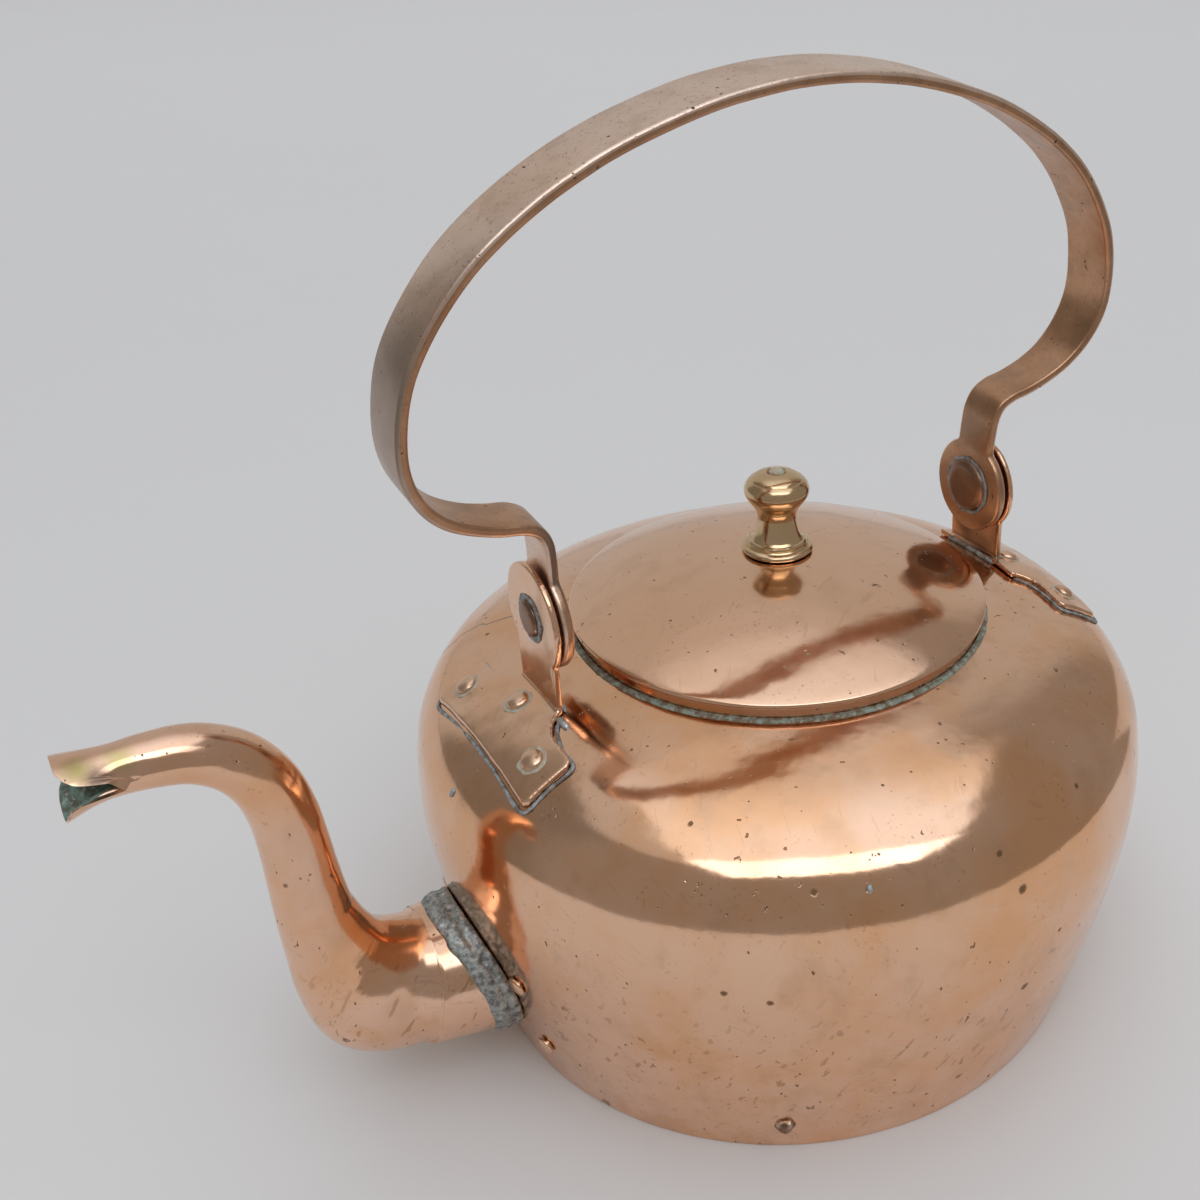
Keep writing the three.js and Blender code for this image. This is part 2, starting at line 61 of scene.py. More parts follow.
BAIL_LINE = [  # half of the strap's centre line, (x, z)
    (0, 315.1), (27, 312.8), (50, 307.3), (69, 300.4), (87.9, 290.2), (103.6, 278.3), (115.5, 264.1),
    (123.3, 249.6), (126.4, 232), (125.2, 222.6), (121.2, 214.2), (115.2, 207.8), (107.0, 203.2),
    (98.6, 200.4), (91.6, 198.9), (87.4, 196.4), (85.2, 192.0), (84.5, 186.0), (84.4, 180.6),
]
BAIL_WIDTH = [  # (height, width)
    (160, 16.6), (196, 16.4), (203, 16.8), (212, 18.2), (225, 19.6), (240, 20.3), (280, 21.6), (330, 23.4),
]
SPOUT = [  # centre line and outer radius, (x, z, radius)
    (-112, 42, 24.6), (-121, 42, 24.6), (-133, 42.8, 23.5), (-144.5, 44.3, 21.9), (-154.5, 44.5, 19.5),
    (-159.5, 48.9, 18.3), (-164.8, 59.9, 14.8), (-167.2, 71.8, 12.6), (-168.7, 86, 11.4), (-169.5, 100, 10.5),
    (-170.0, 113, 10.0), (-171.0, 125, 9.7), (-174.2, 137.3, 9.4), (-180.8, 147.4, 9.0), (-190.3, 153.6, 8.4),
    (-201, 155.6, 7.7), (-211, 156.0, 7.2), (-218, 155.9, 7.8), (-225, 155.2, 9.0),
]
SPOUT_WALL = 1.2
ELBOW_INSIDE = [(-141.5, 67.3), (-148.8, 70.6), (-153.4, 77.2)]  # inner side of the elbow, (x, z)
ELBOW_TOP = 86
BRACKET_EAR_R = 17.6
BRACKET_T = 2.0
STRAP_HALF = 13.0
FOOT_X = (94.8, 111.2)
FOOT_HALF = 34.5
FOOT_TURN = {"left": 0.0, "right": math.radians(-7)}
FOOT_RIVETS = [(102.2, -24), (95.4, 1.5), (102.6, 26)]
SPOUT_RIVETS = [(-29.8, 51.8), (-29.6, 21), (29.8, 51.8), (29.6, 21)]


# ---- numbers and curves ----
def mix(a, b, t):
    return a + (b - a) * t


def smoothstep(v, low, high):
    t = min(max((v - low) / (high - low), 0.0), 1.0)
    return t * t * (3 - 2 * t)


def along(table, v):
    """Straight-line reading of a table of (place, value)."""
    for (a, p), (b, q) in zip(table, table[1:]):
        if v <= b:
            return mix(p, q, max((v - a) / (b - a), 0.0))
    return table[-1][1]


def spline(points, steps):
    """Centripetal Catmull-Rom curve through points of any dimension, with that many steps per span."""
    pts = [Vector(p) for p in points]
    pts = [pts[0] * 2 - pts[1]] + pts + [pts[-1] * 2 - pts[-2]]
    out = []
    for i in range(1, len(pts) - 2):
        quad = pts[i - 1:i + 3]
        knots = [0.0]
        for a, b in zip(quad, quad[1:]):
            knots.append(knots[-1] + max((b - a).length, 1e-6) ** 0.5)
        for s in range(steps):
            out.append(pyramid(quad, knots, mix(knots[1], knots[2], s / steps)))
    out.append(pts[-2])
    return out


def pyramid(quad, knots, t):
    """Barry-Goldman point of four knots' curve at t, between the middle two."""
    def between(a, b, low, high):
        span = knots[high] - knots[low]
        return a * ((knots[high] - t) / span) + b * ((t - knots[low]) / span)

    first = [between(quad[k], quad[k + 1], k, k + 1) for k in range(3)]
    second = [between(first[k], first[k + 1], k, k + 2) for k in range(2)]
    return between(second[0], second[1], 1, 2)


CORNER_STEPS = 4


def rounded(points, radius):
    """A closed (radius, height) outline with each corner off the axis rounded."""
    out = []
    count = len(points)
    for i, point in enumerate(points):
        here, back, ahead = Vector(point), Vector(points[i - 1]), Vector(points[(i + 1) % count])
        if here.x < 1e-6:
            out.append(here)
            continue
        cut_back = min(radius, (back - here).length * 0.45)
        cut_ahead = min(radius, (ahead - here).length * 0.45)
        start = here + (back - here).normalized() * cut_back
        end = here + (ahead - here).normalized() * cut_ahead
        for s in range(CORNER_STEPS + 1):
            t = s / CORNER_STEPS
            out.append(start * (1 - t) ** 2 + here * 2 * t * (1 - t) + end * t * t)
    return out


def shifted(profile, distance):
    """An open (radius, height) profile moved along its normals, outward for a positive distance."""
    out = []
    for i, p in enumerate(profile):
        way = (profile[min(i + 1, len(profile) - 1)] - profile[max(i - 1, 0)]).normalized()
        out.append(Vector((p.x + distance * way.y, p.y - distance * way.x)))
    return out


def uneven(point, size, seed=0.0):
    """Smooth noise from -1 to 1 with features of that size in millimetres."""
    return noise.noise(Vector(point) / size + Vector((seed, seed * 1.7, seed * 0.3)))


body_line = spline(BODY, 16)


def body_radius(z):
    if z <= body_line[0].y:
        return body_line[0].x
    for a, b in zip(body_line, body_line[1:]):
        if z <= b.y:
            return mix(a.x, b.x, (z - a.y) / (b.y - a.y))
    return body_line[-1].x


def body_height(r):
    low, high = 100.0, body_line[-1].y
    for _ in range(40):
        middle = (low + high) / 2
        if body_radius(middle) > r:
            low = middle
        else:
            high = middle
    return low


def body_normal(x, y, z):
    slope = (body_radius(z + 1) - body_radius(z - 1)) / 2
    r = math.hypot(x, y)
    return Vector((x / r, y / r, -slope)).normalized()


def outward(v):
    """The part of a point that leads away from the axis."""
    return Vector((v.x, v.y, 0))


def rectangle(r0, r1, z0, z1):
    return [(r0, z0), (r1, z0), (r1, z1), (r0, z1)]


# ---- mesh helpers ----
def mesh_object(name, verts, faces, material, smooth_angle=40, inner=None):
    """A smooth-shaded mesh from millimetre points. inner = (face numbers, material) paints some apart."""
    mesh = bpy.data.meshes.new(name)
    mesh.from_pydata([Vector(v) * MM for v in verts], [], faces)
    mesh.materials.append(material)
    if inner:
        mesh.materials.append(inner[1])
        for i in inner[0]:
            mesh.polygons[i].material_index = 1
    work = bmesh.new()
    work.from_mesh(mesh)
    bmesh.ops.remove_doubles(work, verts=work.verts, dist=1e-7)
    bmesh.ops.recalc_face_normals(work, faces=work.faces)
    work.to_mesh(mesh)
    work.free()
    mesh.shade_smooth()
    mesh.set_sharp_from_angle(angle=math.radians(smooth_angle))
    made = bpy.data.objects.new(name, mesh)
    bpy.context.scene.collection.objects.link(made)
    return made


def skin(rings, closed_along=False):
    """Faces between equal rings of point numbers."""
    faces = []
    count = len(rings)
    for i in range(count if closed_along else count - 1):
        a, b = rings[i], rings[(i + 1) % count]
        for j in range(len(a)):
            k = (j + 1) % len(a)
            faces.append((a[j], a[k], b[k], b[j]))
    return faces


def turned(profile, sides, warp=None, turn=None):
    """Points and faces of a solid of revolution. turn is a Matrix that stands it in its place."""
    points = [Vector(p) for p in profile]
    open_line = points[0].x < 1e-6 and points[-1].x < 1e-6
    if open_line:
        points[0].x = points[-1].x = 0.0
    verts, rings = [], []
    for p in points:
        ring = []
        for s in range(sides):
            a = 2 * math.pi * s / sides
            v = Vector((p.x * math.cos(a), p.x * math.sin(a), p.y))
            if warp:
                v = warp(v)
            ring.append(len(verts))
            verts.append(turn @ v if turn else v)
        rings.append(ring)
    return verts, skin(rings, closed_along=not open_line)


def turned_object(name, profile, sides, material, warp=None, turn=None, smooth_angle=40):
    verts, faces = turned(profile, sides, warp, turn)
    return mesh_object(name, verts, faces, material, smooth_angle)


def prism(outline, low, high, axes):
    """Points and faces of an outline pushed from low to high. axes maps (u, v, w) to a point."""
    count = len(outline)
    verts = [axes(u, v, low) for u, v in outline] + [axes(u, v, high) for u, v in outline]
    faces = [tuple(range(count)), tuple(range(2 * count - 1, count - 1, -1))]
    faces += [(i, (i + 1) % count, count + (i + 1) % count, count + i) for i in range(count)]
    return verts, faces


def apply_modifiers(made):
    seen = made.evaluated_get(bpy.context.evaluated_depsgraph_get())
    mesh = bpy.data.meshes.new_from_object(seen)
    made.modifiers.clear()
    made.data = mesh
    return made


def combine(made, other, operation):
    """Boolean of two objects into the first; the second is removed."""
    step = made.modifiers.new("join", "BOOLEAN")
    step.operation = operation
    step.solver = "EXACT"
    step.object = other
    apply_modifiers(made)
    bpy.data.objects.remove(other)
    return made


def soften(made, voxel, passes):
    """Voxel remesh and smoothing, which round every edge of a piece made by booleans."""
    remesh = made.modifiers.new("remesh", "REMESH")
    remesh.mode = "VOXEL"
    remesh.voxel_size = voxel * MM
    remesh.use_smooth_shade = True
    smooth = made.modifiers.new("smooth", "SMOOTH")
    smooth.factor = 0.5
    smooth.iterations = passes
    return apply_modifiers(made)


def push(made, amount):
    """Moves each vertex along its normal by amount(point in mm), in millimetres."""
    mesh = made.data
    for vert, way in [(v, v.normal.copy()) for v in mesh.vertices]:
        vert.co += way * amount(vert.co / MM) * MM
    return made


def belongs(made, body, slot, *nodes):
    """Hangs a piece under its CAD body's empty and hides the CAD nodes it stands for; slot is not used."""
    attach(made, body)
    if nodes:
        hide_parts(*nodes)
    return made


# ---- materials ----
class Paint:
    """A procedural material; textures are laid out in millimetres on the piece itself."""

    def __init__(self, name, metallic=1.0):
        self.material = bpy.data.materials.new(name)
        self.material.use_nodes = True
        self.tree = self.material.node_tree
        self.tree.nodes.clear()
        output = self.tree.nodes.new("ShaderNodeOutputMaterial")
        self.shader = self.tree.nodes.new("ShaderNodeBsdfPrincipled")
        self.shader.inputs["Metallic"].default_value = metallic
        self.tree.links.new(self.shader.outputs[0], output.inputs["Surface"])
        coordinates = self.tree.nodes.new("ShaderNodeTexCoord")
        self.place = self.vector("MULTIPLY", coordinates.outputs["Object"], (1 / MM,) * 3)

    def put(self, socket, value):
        if isinstance(value, bpy.types.NodeSocket):
            self.tree.links.new(value, socket)
        elif isinstance(value, tuple) and len(value) == 3 and socket.type == "RGBA":
            socket.default_value = (*value, 1.0)
        else:
            socket.default_value = value

    def vector(self, operation, a, b):
        node = self.tree.nodes.new("ShaderNodeVectorMath")
        node.operation = operation
        self.put(node.inputs[0], a)
        self.put(node.inputs[1], b)
        return node.outputs["Value" if operation in ("DISTANCE", "DOT_PRODUCT", "LENGTH") else "Vector"]

    def math(self, operation, a, b=0.0):
        node = self.tree.nodes.new("ShaderNodeMath")
        node.operation = operation
        self.put(node.inputs[0], a)
        self.put(node.inputs[1], b)
        return node.outputs[0]

    def times(self, a, b):
        return self.math("MULTIPLY", a, b)

    def stain(self, colour, where, strength, tint):
        """The colour, mixed that strongly toward a tint where where is 1."""
        return self.mix(self.times(where, strength), colour, tint)

    def noise(self, size, detail=3.0, stretch=(1.0, 1.0, 1.0), turn=(0.0, 0.0, 0.0), shift=0.0, rough=0.55):
        """Noise from 0 to 1 with features of that size in millimetres, longer where stretch is over 1."""
        mapping = self.tree.nodes.new("ShaderNodeMapping")
        mapping.vector_type = "TEXTURE"
        self.put(mapping.inputs["Vector"], self.place)
        mapping.inputs["Scale"].default_value = tuple(size * s for s in stretch)
        mapping.inputs["Rotation"].default_value = turn
        mapping.inputs["Location"].default_value = (shift, shift * 0.7, -shift * 0.4)
        node = self.tree.nodes.new("ShaderNodeTexNoise")
        node.inputs["Scale"].default_value = 1.0
        node.inputs["Detail"].default_value = detail
        node.inputs["Roughness"].default_value = rough
        self.put(node.inputs["Vector"], mapping.outputs[0])
        return node.outputs["Fac"]

    def ramp(self, value, low, high, start=0.0, end=1.0):
        node = self.tree.nodes.new("ShaderNodeMapRange")
        node.interpolation_type = "SMOOTHSTEP"
        names = ("Value", "From Min", "From Max", "To Min", "To Max")
        for name, v in zip(names, (value, low, high, start, end)):
            self.put(node.inputs[name], v)
        return node.outputs[0]

    def mix(self, amount, a, b):
        node = self.tree.nodes.new("ShaderNodeMix")
        node.data_type = "RGBA"
        self.put(node.inputs[0], amount)
        self.put(node.inputs[6], a)
        self.put(node.inputs[7], b)
        return node.outputs[2]

    def part(self, axis):
        """One coordinate of the place on the piece, in millimetres."""
        node = self.tree.nodes.new("ShaderNodeSeparateXYZ")
        self.put(node.inputs[0], self.place)
        return node.outputs[axis]

    def near(self, centre, radius, blur=0.5):
        """1 inside that distance of a place, 0 outside, with a ragged edge."""
        away = self.vector("DISTANCE", self.place, centre)
        away = self.math("ADD", away, self.times(self.noise(radius * 0.6), radius * 0.6))
        return self.ramp(away, radius * (1.3 - blur), radius * (1.3 + blur * 0.4), 1.0, 0.0)

    def worn_edges(self):
        """1 on edges that stand out."""
        geometry = self.tree.nodes.new("ShaderNodeNewGeometry")
        return self.ramp(geometry.outputs["Pointiness"], 0.52, 0.6)

    def bump(self, height, depth):
        """Relief from a height of 0 to 1, depth millimetres deep, on top of any bump before it."""
        node = self.tree.nodes.new("ShaderNodeBump")
        node.inputs["Distance"].default_value = depth * MM
        self.put(node.inputs["Height"], height)
        before = self.shader.inputs["Normal"]
        if before.is_linked:
            self.put(node.inputs["Normal"], before.links[0].from_socket)
        self.put(before, node.outputs[0])

    def finish(self, colour, roughness):
        self.put(self.shader.inputs["Base Color"], colour)
        self.put(self.shader.inputs["Roughness"], roughness)
        return self.material


def copper(name, pink, orange, rough, spots=(), stains_and_shade=(), seam=None, tarnish=0.5, low_stain=False):
    """Polished old copper: pink and orange bands, brown tarnish, dark pits, fine scratches."""
    paint = Paint(name)
    hue = paint.ramp(paint.noise(38, 4), 0.36, 0.66)
    colour = paint.mix(hue, pink, orange)
    cloud = paint.ramp(paint.noise(14, 5, stretch=(1, 1, 1.6), shift=31), 0.5, 0.74)
    cloud = paint.times(cloud, tarnish)
    colour = paint.mix(cloud, colour, (0.66, 0.40, 0.25))
    if low_stain:
        height = paint.part("Z")
        low = paint.ramp(height, 20, 104, 1.0, 0.0)
        cloudy = paint.ramp(paint.noise(11, 5, shift=9), 0.46, 0.70)
        colour = paint.stain(colour, paint.times(cloudy, low), 0.55, (0.72, 0.39, 0.19))
        streak = paint.noise(3.0, 3, stretch=(1, 1, 4.5), turn=(0, 0.6, 0), shift=9)
        streak = paint.ramp(streak, 0.625, 0.665)
        streak = paint.times(streak, paint.ramp(height, 10, 45, 0.3, 1.0))
        colour = paint.stain(colour, paint.times(streak, low), 0.75, (0.43, 0.21, 0.08))
        blot = paint.ramp(paint.noise(5.5, 3, stretch=(1, 1, 1.3), shift=63), 0.68, 0.72)
        colour = paint.stain(colour, paint.times(blot, low), 0.85, (0.24, 0.12, 0.06))
    freckle = paint.ramp(paint.noise(1.5, 4, shift=5, rough=0.7), 0.60, 0.68)
    patch = paint.ramp(paint.noise(22, 3, shift=77), 0.44, 0.62)
    freckle = paint.times(freckle, patch)
    colour = paint.stain(colour, freckle, 0.55, (0.30, 0.17, 0.10))
    pit = paint.ramp(paint.noise(2.8, 2, stretch=(1, 1, 1.5), shift=55), 0.71, 0.74)
    colour = paint.stain(colour, pit, 0.8, (0.20, 0.11, 0.06))
    marks = pit
    for centre, radius in spots:
        mark = paint.near(centre, radius)
        colour = paint.mix(mark, colour, (0.27, 0.15, 0.08))
        marks = paint.math("MAXIMUM", marks, mark)
    # Listed patches mixed toward a tint: on the spout they are stains, on the bracket they are painted shade.
    for centre, radius, tint in stains_and_shade:
        colour = paint.mix(paint.near(centre, radius, 0.9), colour, tint)
    if seam is not None:
        across = paint.vector("DOT_PRODUCT", paint.place, (math.sin(seam), -math.cos(seam), 0))
        front = paint.vector("DOT_PRODUCT", paint.place, (math.cos(seam), math.sin(seam), 0))
        tooth = paint.math("PINGPONG", paint.part("Z"), 6.0)
        tooth = paint.math("SUBTRACT", paint.ramp(tooth, 2.2, 3.8), 0.5)
        off = paint.math("ABSOLUTE", paint.math("SUBTRACT", across, paint.times(tooth, 2.4)))
        line = paint.times(paint.ramp(off, 0.25, 0.75, 1.0, 0.0), paint.ramp(front, 0, 10))
        colour = paint.stain(colour, line, 0.75, (0.30, 0.19, 0.12))
        marks = paint.math("MAXIMUM", marks, paint.times(line, 0.4))
    hair = paint.noise(0.8, 2, stretch=(22, 22, 1), turn=(0.5, -0.3, 0.9), shift=19)
    hair = paint.ramp(hair, 0.66, 0.70)
    colour = paint.stain(colour, hair, 0.18, (0.45, 0.27, 0.17))
    dull = paint.times(paint.noise(9, 5, shift=12), 0.10)
    scratch = paint.noise(0.9, 3, stretch=(14, 14, 1), turn=(0.2, 0.1, 0.5), shift=3)
    dull = paint.math("ADD", dull, paint.times(cloud, 0.08))
    roughness = paint.math("ADD", dull, rough - 0.05)
    roughness = paint.math("ADD", roughness, paint.times(marks, 0.35))
    paint.bump(paint.noise(26, 2, shift=4), 0.20)
    paint.bump(paint.noise(11, 2, shift=14), 0.085)
    paint.bump(scratch, 0.006)
    paint.bump(paint.noise(3.0, 3, shift=8), 0.012)
    paint.bump(paint.math("SUBTRACT", 1.0, marks), 0.12)
    return paint.finish(colour, roughness)


def dark_copper(name, pale, deep, patchy, rough, spots=()):
    """The bail's browner, duller copper, pitted all over, brighter where hands wear its edges."""
    paint = Paint(name)
    colour = paint.mix(paint.ramp(paint.noise(30, 4), 0.35, 0.65), pale, deep)
    patch = paint.ramp(paint.noise(11, 5, shift=21), 0.48, 0.66)
    colour = paint.mix(paint.times(patch, patchy), colour, (0.40, 0.24, 0.15))
    colour = paint.mix(paint.worn_edges(), colour, (0.86, 0.66, 0.52))
    speck = paint.ramp(paint.noise(1.3, 4, shift=2, rough=0.7), 0.57, 0.68)
    colour = paint.stain(colour, speck, 0.55, (0.26, 0.15, 0.10))
    pit = paint.ramp(paint.noise(2.6, 2, shift=41), 0.70, 0.75)
    colour = paint.mix(pit, colour, (0.16, 0.09, 0.06))
    for centre, radius, tint in spots:
        colour = paint.mix(paint.times(paint.near(centre, radius, 0.8), 0.8), colour, tint)
    roughness = paint.math("ADD", paint.times(paint.noise(6, 5, shift=13), 0.22), rough)
    roughness = paint.math("ADD", roughness, paint.times(pit, 0.3))
    paint.bump(paint.noise(9, 3, shift=3), 0.18)
    paint.bump(paint.noise(1.5, 4, shift=7, rough=0.7), 0.05)
    paint.bump(paint.math("SUBTRACT", 1.0, pit), 0.25)
    return paint.finish(colour, roughness)


def solder(name, dark, light, tint=(0.42, 0.47, 0.42)):
    """Lumpy lead-tin solder: blue-grey, with bright wiped facets and a greenish bloom in the hollows."""
    paint = Paint(name, metallic=0.85)
    colour = paint.mix(paint.ramp(paint.noise(2.2, 5, rough=0.65), 0.36, 0.64), dark, light)
    bloom = paint.ramp(paint.noise(7, 4, shift=17), 0.52, 0.68)
    colour = paint.mix(paint.times(bloom, 0.55), colour, tint)
    speck = paint.ramp(paint.noise(0.8, 3, shift=29), 0.64, 0.72)
    colour = paint.mix(speck, colour, (0.10, 0.10, 0.10))
    roughness = paint.ramp(paint.noise(1.9, 4, shift=11), 0.3, 0.7, 0.28, 0.62)
    paint.bump(paint.noise(2.4, 5, shift=6, rough=0.65), 0.55)
    paint.bump(paint.noise(0.7, 3, shift=16), 0.10)
    return paint.finish(colour, roughness)


def brass(name):
    """Polished brass, darker in the grooves."""
    paint = Paint(name)
    colour = paint.mix(paint.ramp(paint.noise(12, 4), 0.35, 0.65), (0.74, 0.54, 0.33), (0.66, 0.46, 0.26))
    geometry = paint.tree.nodes.new("ShaderNodeNewGeometry")
    groove = paint.ramp(geometry.outputs["Pointiness"], 0.42, 0.49, 1.0, 0.0)
    colour = paint.stain(colour, groove, 0.7, (0.22, 0.14, 0.07))
    speck = paint.ramp(paint.noise(1.1, 4, shift=3), 0.64, 0.74)
    colour = paint.stain(colour, speck, 0.6, (0.25, 0.16, 0.09))
    roughness = paint.math("ADD", paint.times(paint.noise(4, 4, shift=9), 0.18), 0.08)
    paint.bump(paint.noise(0.8, 3, stretch=(9, 9, 1), shift=5), 0.01)
    paint.bump(paint.noise(5, 2, shift=2), 0.05)
    return paint.finish(colour, roughness)


def verdigris(name, green=(0.30, 0.38, 0.29), brown=(0.36, 0.26, 0.16), metallic=0.35):
    """Green and brown corrosion with a crust."""
    paint = Paint(name, metallic=metallic)
    colour = paint.mix(paint.ramp(paint.noise(2.6, 5, rough=0.65), 0.4, 0.6), green, brown)
    pale = paint.ramp(paint.noise(1.3, 4, shift=23), 0.56, 0.68)
    colour = paint.stain(colour, pale, 0.6, (0.62, 0.64, 0.58))
    roughness = paint.ramp(paint.noise(1.7, 3, shift=4), 0.3, 0.7, 0.45, 0.8)
    paint.bump(paint.noise(1.2, 5, shift=8, rough=0.7), 0.25)
    return paint.finish(colour, roughness)


PINK = (0.86, 0.545, 0.37)
ORANGE = (0.83, 0.455, 0.245)
body_copper = copper(
    "body_copper", PINK, ORANGE, 0.12, seam=math.radians(143.7), low_stain=True,
    spots=[
        ((-24.6, -93.7, 131.7), 0.5), ((-65.7, -80.5, 128.5), 0.4), ((-77.1, -73.1, 127.2), 0.9),
        ((-56.9, -105.9, 115.9), 1.2), ((-43.0, -112.7, 115.4), 1.1), ((3.8, -125.6, 101.9), 1.7),
        ((11.2, -123.0, 56.6), 1.7), ((-81.6, -96.7, 84.0), 1.2), ((-71.1, -104.7, 80.9), 1.2),
        ((-2.3, -121.1, 114.8), 1.2), ((10.9, -101.2, 129.6), 0.4), ((34.8, -113.0, 118.3), 1.0),
        ((22.8, -124.5, 75.1), 1.0), ((-65.3, -80.9, 128.5), 0.4),
    ],
)
lid_copper = copper("lid_copper", PINK, (0.84, 0.52, 0.34), 0.13, tarnish=0.35)
spout_copper = copper(
    "spout_copper", (0.86, 0.55, 0.39), (0.84, 0.46, 0.26), 0.14, tarnish=0.45, low_stain=True,
    spots=[
        ((-142, -21, 72), 1.5), ((-176.6, -8.6, 105.4), 1.1), ((-178, -9, 92.3), 1.3), ((-176, -10, 96), 0.8),
    ],
    stains_and_shade=[((-218, -5, 162), 4.6, (0.46, 0.36, 0.15)), ((-208, -5, 162), 4.2, (0.62, 0.48, 0.22)),
            ((-214, -7, 159), 4.0, (0.26, 0.17, 0.12))],
)
bracket_copper = copper(
    "bracket_copper", (0.86, 0.56, 0.39), (0.84, 0.48, 0.28), 0.20, tarnish=0.9,
    # Dark patches of painted shade at the root of the right bracket's upright, where it stands on the foot
    # and the shoulder.
    stains_and_shade=[((88, -6, 138), 11.0, (0.28, 0.17, 0.11)), ((88, 4, 143), 8.0, (0.28, 0.17, 0.11))],
)
rivet_copper = copper("rivet_copper", (0.84, 0.58, 0.42), (0.78, 0.48, 0.30), 0.26, tarnish=0.9)
bail_copper = dark_copper(
    "bail_copper", (0.86, 0.66, 0.54), (0.78, 0.56, 0.43), 0.22, 0.24,
    spots=[((-124, -8, 244), 29, (0.33, 0.255, 0.205)), ((-120, -8, 222), 20, (0.42, 0.31, 0.25))])
# The strap's inner side: a darker copy of the bail's copper, which paints shade there; its spots darken the
# ears round the pivots.
bail_painted_shade = dark_copper(
    "bail_painted_shade", (0.62, 0.36, 0.22), (0.47, 0.25, 0.14), 0.6, 0.24,
    spots=[((-84, -8, 186), 13, (0.22, 0.19, 0.18)), ((84, 0, 186), 9, (0.34, 0.22, 0.15))])
pivot_copper = dark_copper("pivot_copper", (0.30, 0.17, 0.11), (0.22, 0.12, 0.075), 0.3, 0.24)
hidden_copper = dark_copper("inside_copper", (0.66, 0.42, 0.28), (0.54, 0.32, 0.20), 0.6, 0.3)
knob_brass = brass("knob_brass_finish")
band_solder = solder("band_solder", (0.17, 0.18, 0.18), (0.50, 0.50, 0.47), tint=(0.30, 0.34, 0.30))
blob_solder = solder("blob_solder", (0.34, 0.37, 0.39), (0.66, 0.68, 0.68), tint=(0.55, 0.58, 0.54))
neck_crust = verdigris("neck_crust", green=(0.36, 0.42, 0.35), brown=(0.22, 0.16, 0.10), metallic=0.5)
pale_crust = verdigris("pale_crust", green=(0.62, 0.62, 0.50), brown=(0.60, 0.46, 0.33), metallic=0.6)
blue_crust = verdigris("blue_crust", green=(0.40, 0.44, 0.46), brown=(0.22, 0.19, 0.17), metallic=0.4)
mouth_green = verdigris("mouth_green", green=(0.24, 0.36, 0.30), brown=(0.16, 0.16, 0.11), metallic=0.2)


# ---- body ----
def body_wave(v):
    """Slight planishing and dents of the raised body, fading at the neck and the foot."""
    fade = smoothstep(v.z, 1, 14) * smoothstep(139 - v.z, 0, 14)
    out = outward(v).normalized()
    return v + out * fade * (0.28 * uneven(v, 46) + 0.13 * uneven(v, 19, 4.0))


def body_profile():
    outer = [Vector((109.4, 0.05))] + body_line[1:]
    inner = shifted(body_line, -WALL)
    inner[0] = Vector((body_line[0].x - 1.6, 0.05))
    inner[-1] = Vector((COLLAR_R + 0.3, body_line[-1].y - WALL))
    return outer + inner[::-1]


SPOUT_HOLE_R = 21
SPOUT_ROOT_Z = 42
body = turned_object("body_raised_shell", body_profile(), 288, body_copper, warp=body_wave)
hole = turned_object(
    "hole_cut", [(0, 90), (SPOUT_HOLE_R, 90), (SPOUT_HOLE_R, 140), (0, 140)], 64, hidden_copper,
    turn=Matrix.Translation((0, 0, SPOUT_ROOT_Z)) @ Matrix.Rotation(-math.pi / 2, 4, "Y"),
)
combine(body, hole, "DIFFERENCE")
body.data.shade_smooth()
body.data.set_sharp_from_angle(angle=math.radians(40))
belongs(body, "kettle_body", "copper", "body_shell")

bottom = turned_object(
    "bottom_disc", [(0, 0.1), *rounded([(108.2, 0.1), (108.2, 1.5)], 0.4), (0, 1.5)], 192, body_copper,
    warp=lambda v: v + Vector((0, 0, 0.08 * (uneven(v, 34) + 1))) * (v.z < 1),
)
belongs(bottom, "kettle_body", "copper", "bottom_plate")

collar = turned_object(
    "neck_ring", rounded(rectangle(COLLAR_R - 1.2, COLLAR_R, 131.5, 143.4), 0.5), 256, body_copper)
belongs(collar, "kettle_body", "copper", "neck_collar")

bead_line = [(COLLAR_R + 0.1, 139.4), (71.7, 139.1), (71.7, 139.6), (71.0, 140.1), (COLLAR_R + 0.1, 140.4)]
bead = turned_object(
    "neck_bead", rounded(bead_line, 0.35), 400, neck_crust,
    warp=lambda v: v + outward(v).normalized() * (0.3 * uneven(v, 5.5, 2) + 0.15 * uneven(v, 1.8, 5)),
)
belongs(bead, "kettle_body", "green_solder", "neck_solder_bead")


# ---- lid ----
def crown(r):
    return LID_TOP - LID_SAG * r * r


def lid_profile():
    top = [(r, crown(r)) for r in [2.7] + [2.7 + 66.3 * k / 40 for k in range(1, 41)]]
    rim = rounded([(69.4, crown(69.4)), (LID_R, 145.2), (LID_R + 0.05, 143.8), (68.6, 143.7)], 0.6)[5:15]
    under = [(r, crown(r) - 1.2) for r in [68.5 * (1 - k / 30) + 2.7 * k / 30 for k in range(31)]]
    return [Vector(p) for p in top] + rim + [Vector((68.6, 143.75))] + [Vector(p) for p in under]


def lid_wave(v):
    """Slight waves in the dome, fading at its rim."""
    fade = smoothstep(68 - math.hypot(v.x, v.y), 0, 14)
    return v + Vector((0, 0, 1)) * 0.16 * uneven(v, 24, 7) * fade


lid = turned_object("lid_domed_top", lid_profile(), 256, lid_copper, warp=lid_wave)
belongs(lid, "lid", "copper", "lid_dome")
skirt = turned_object("lid_inner_skirt", rounded(rectangle(66.7, 67.9, 132.5, 144.9), 0.4), 192, lid_copper)
belongs(skirt, "lid", "copper", "lid_skirt")

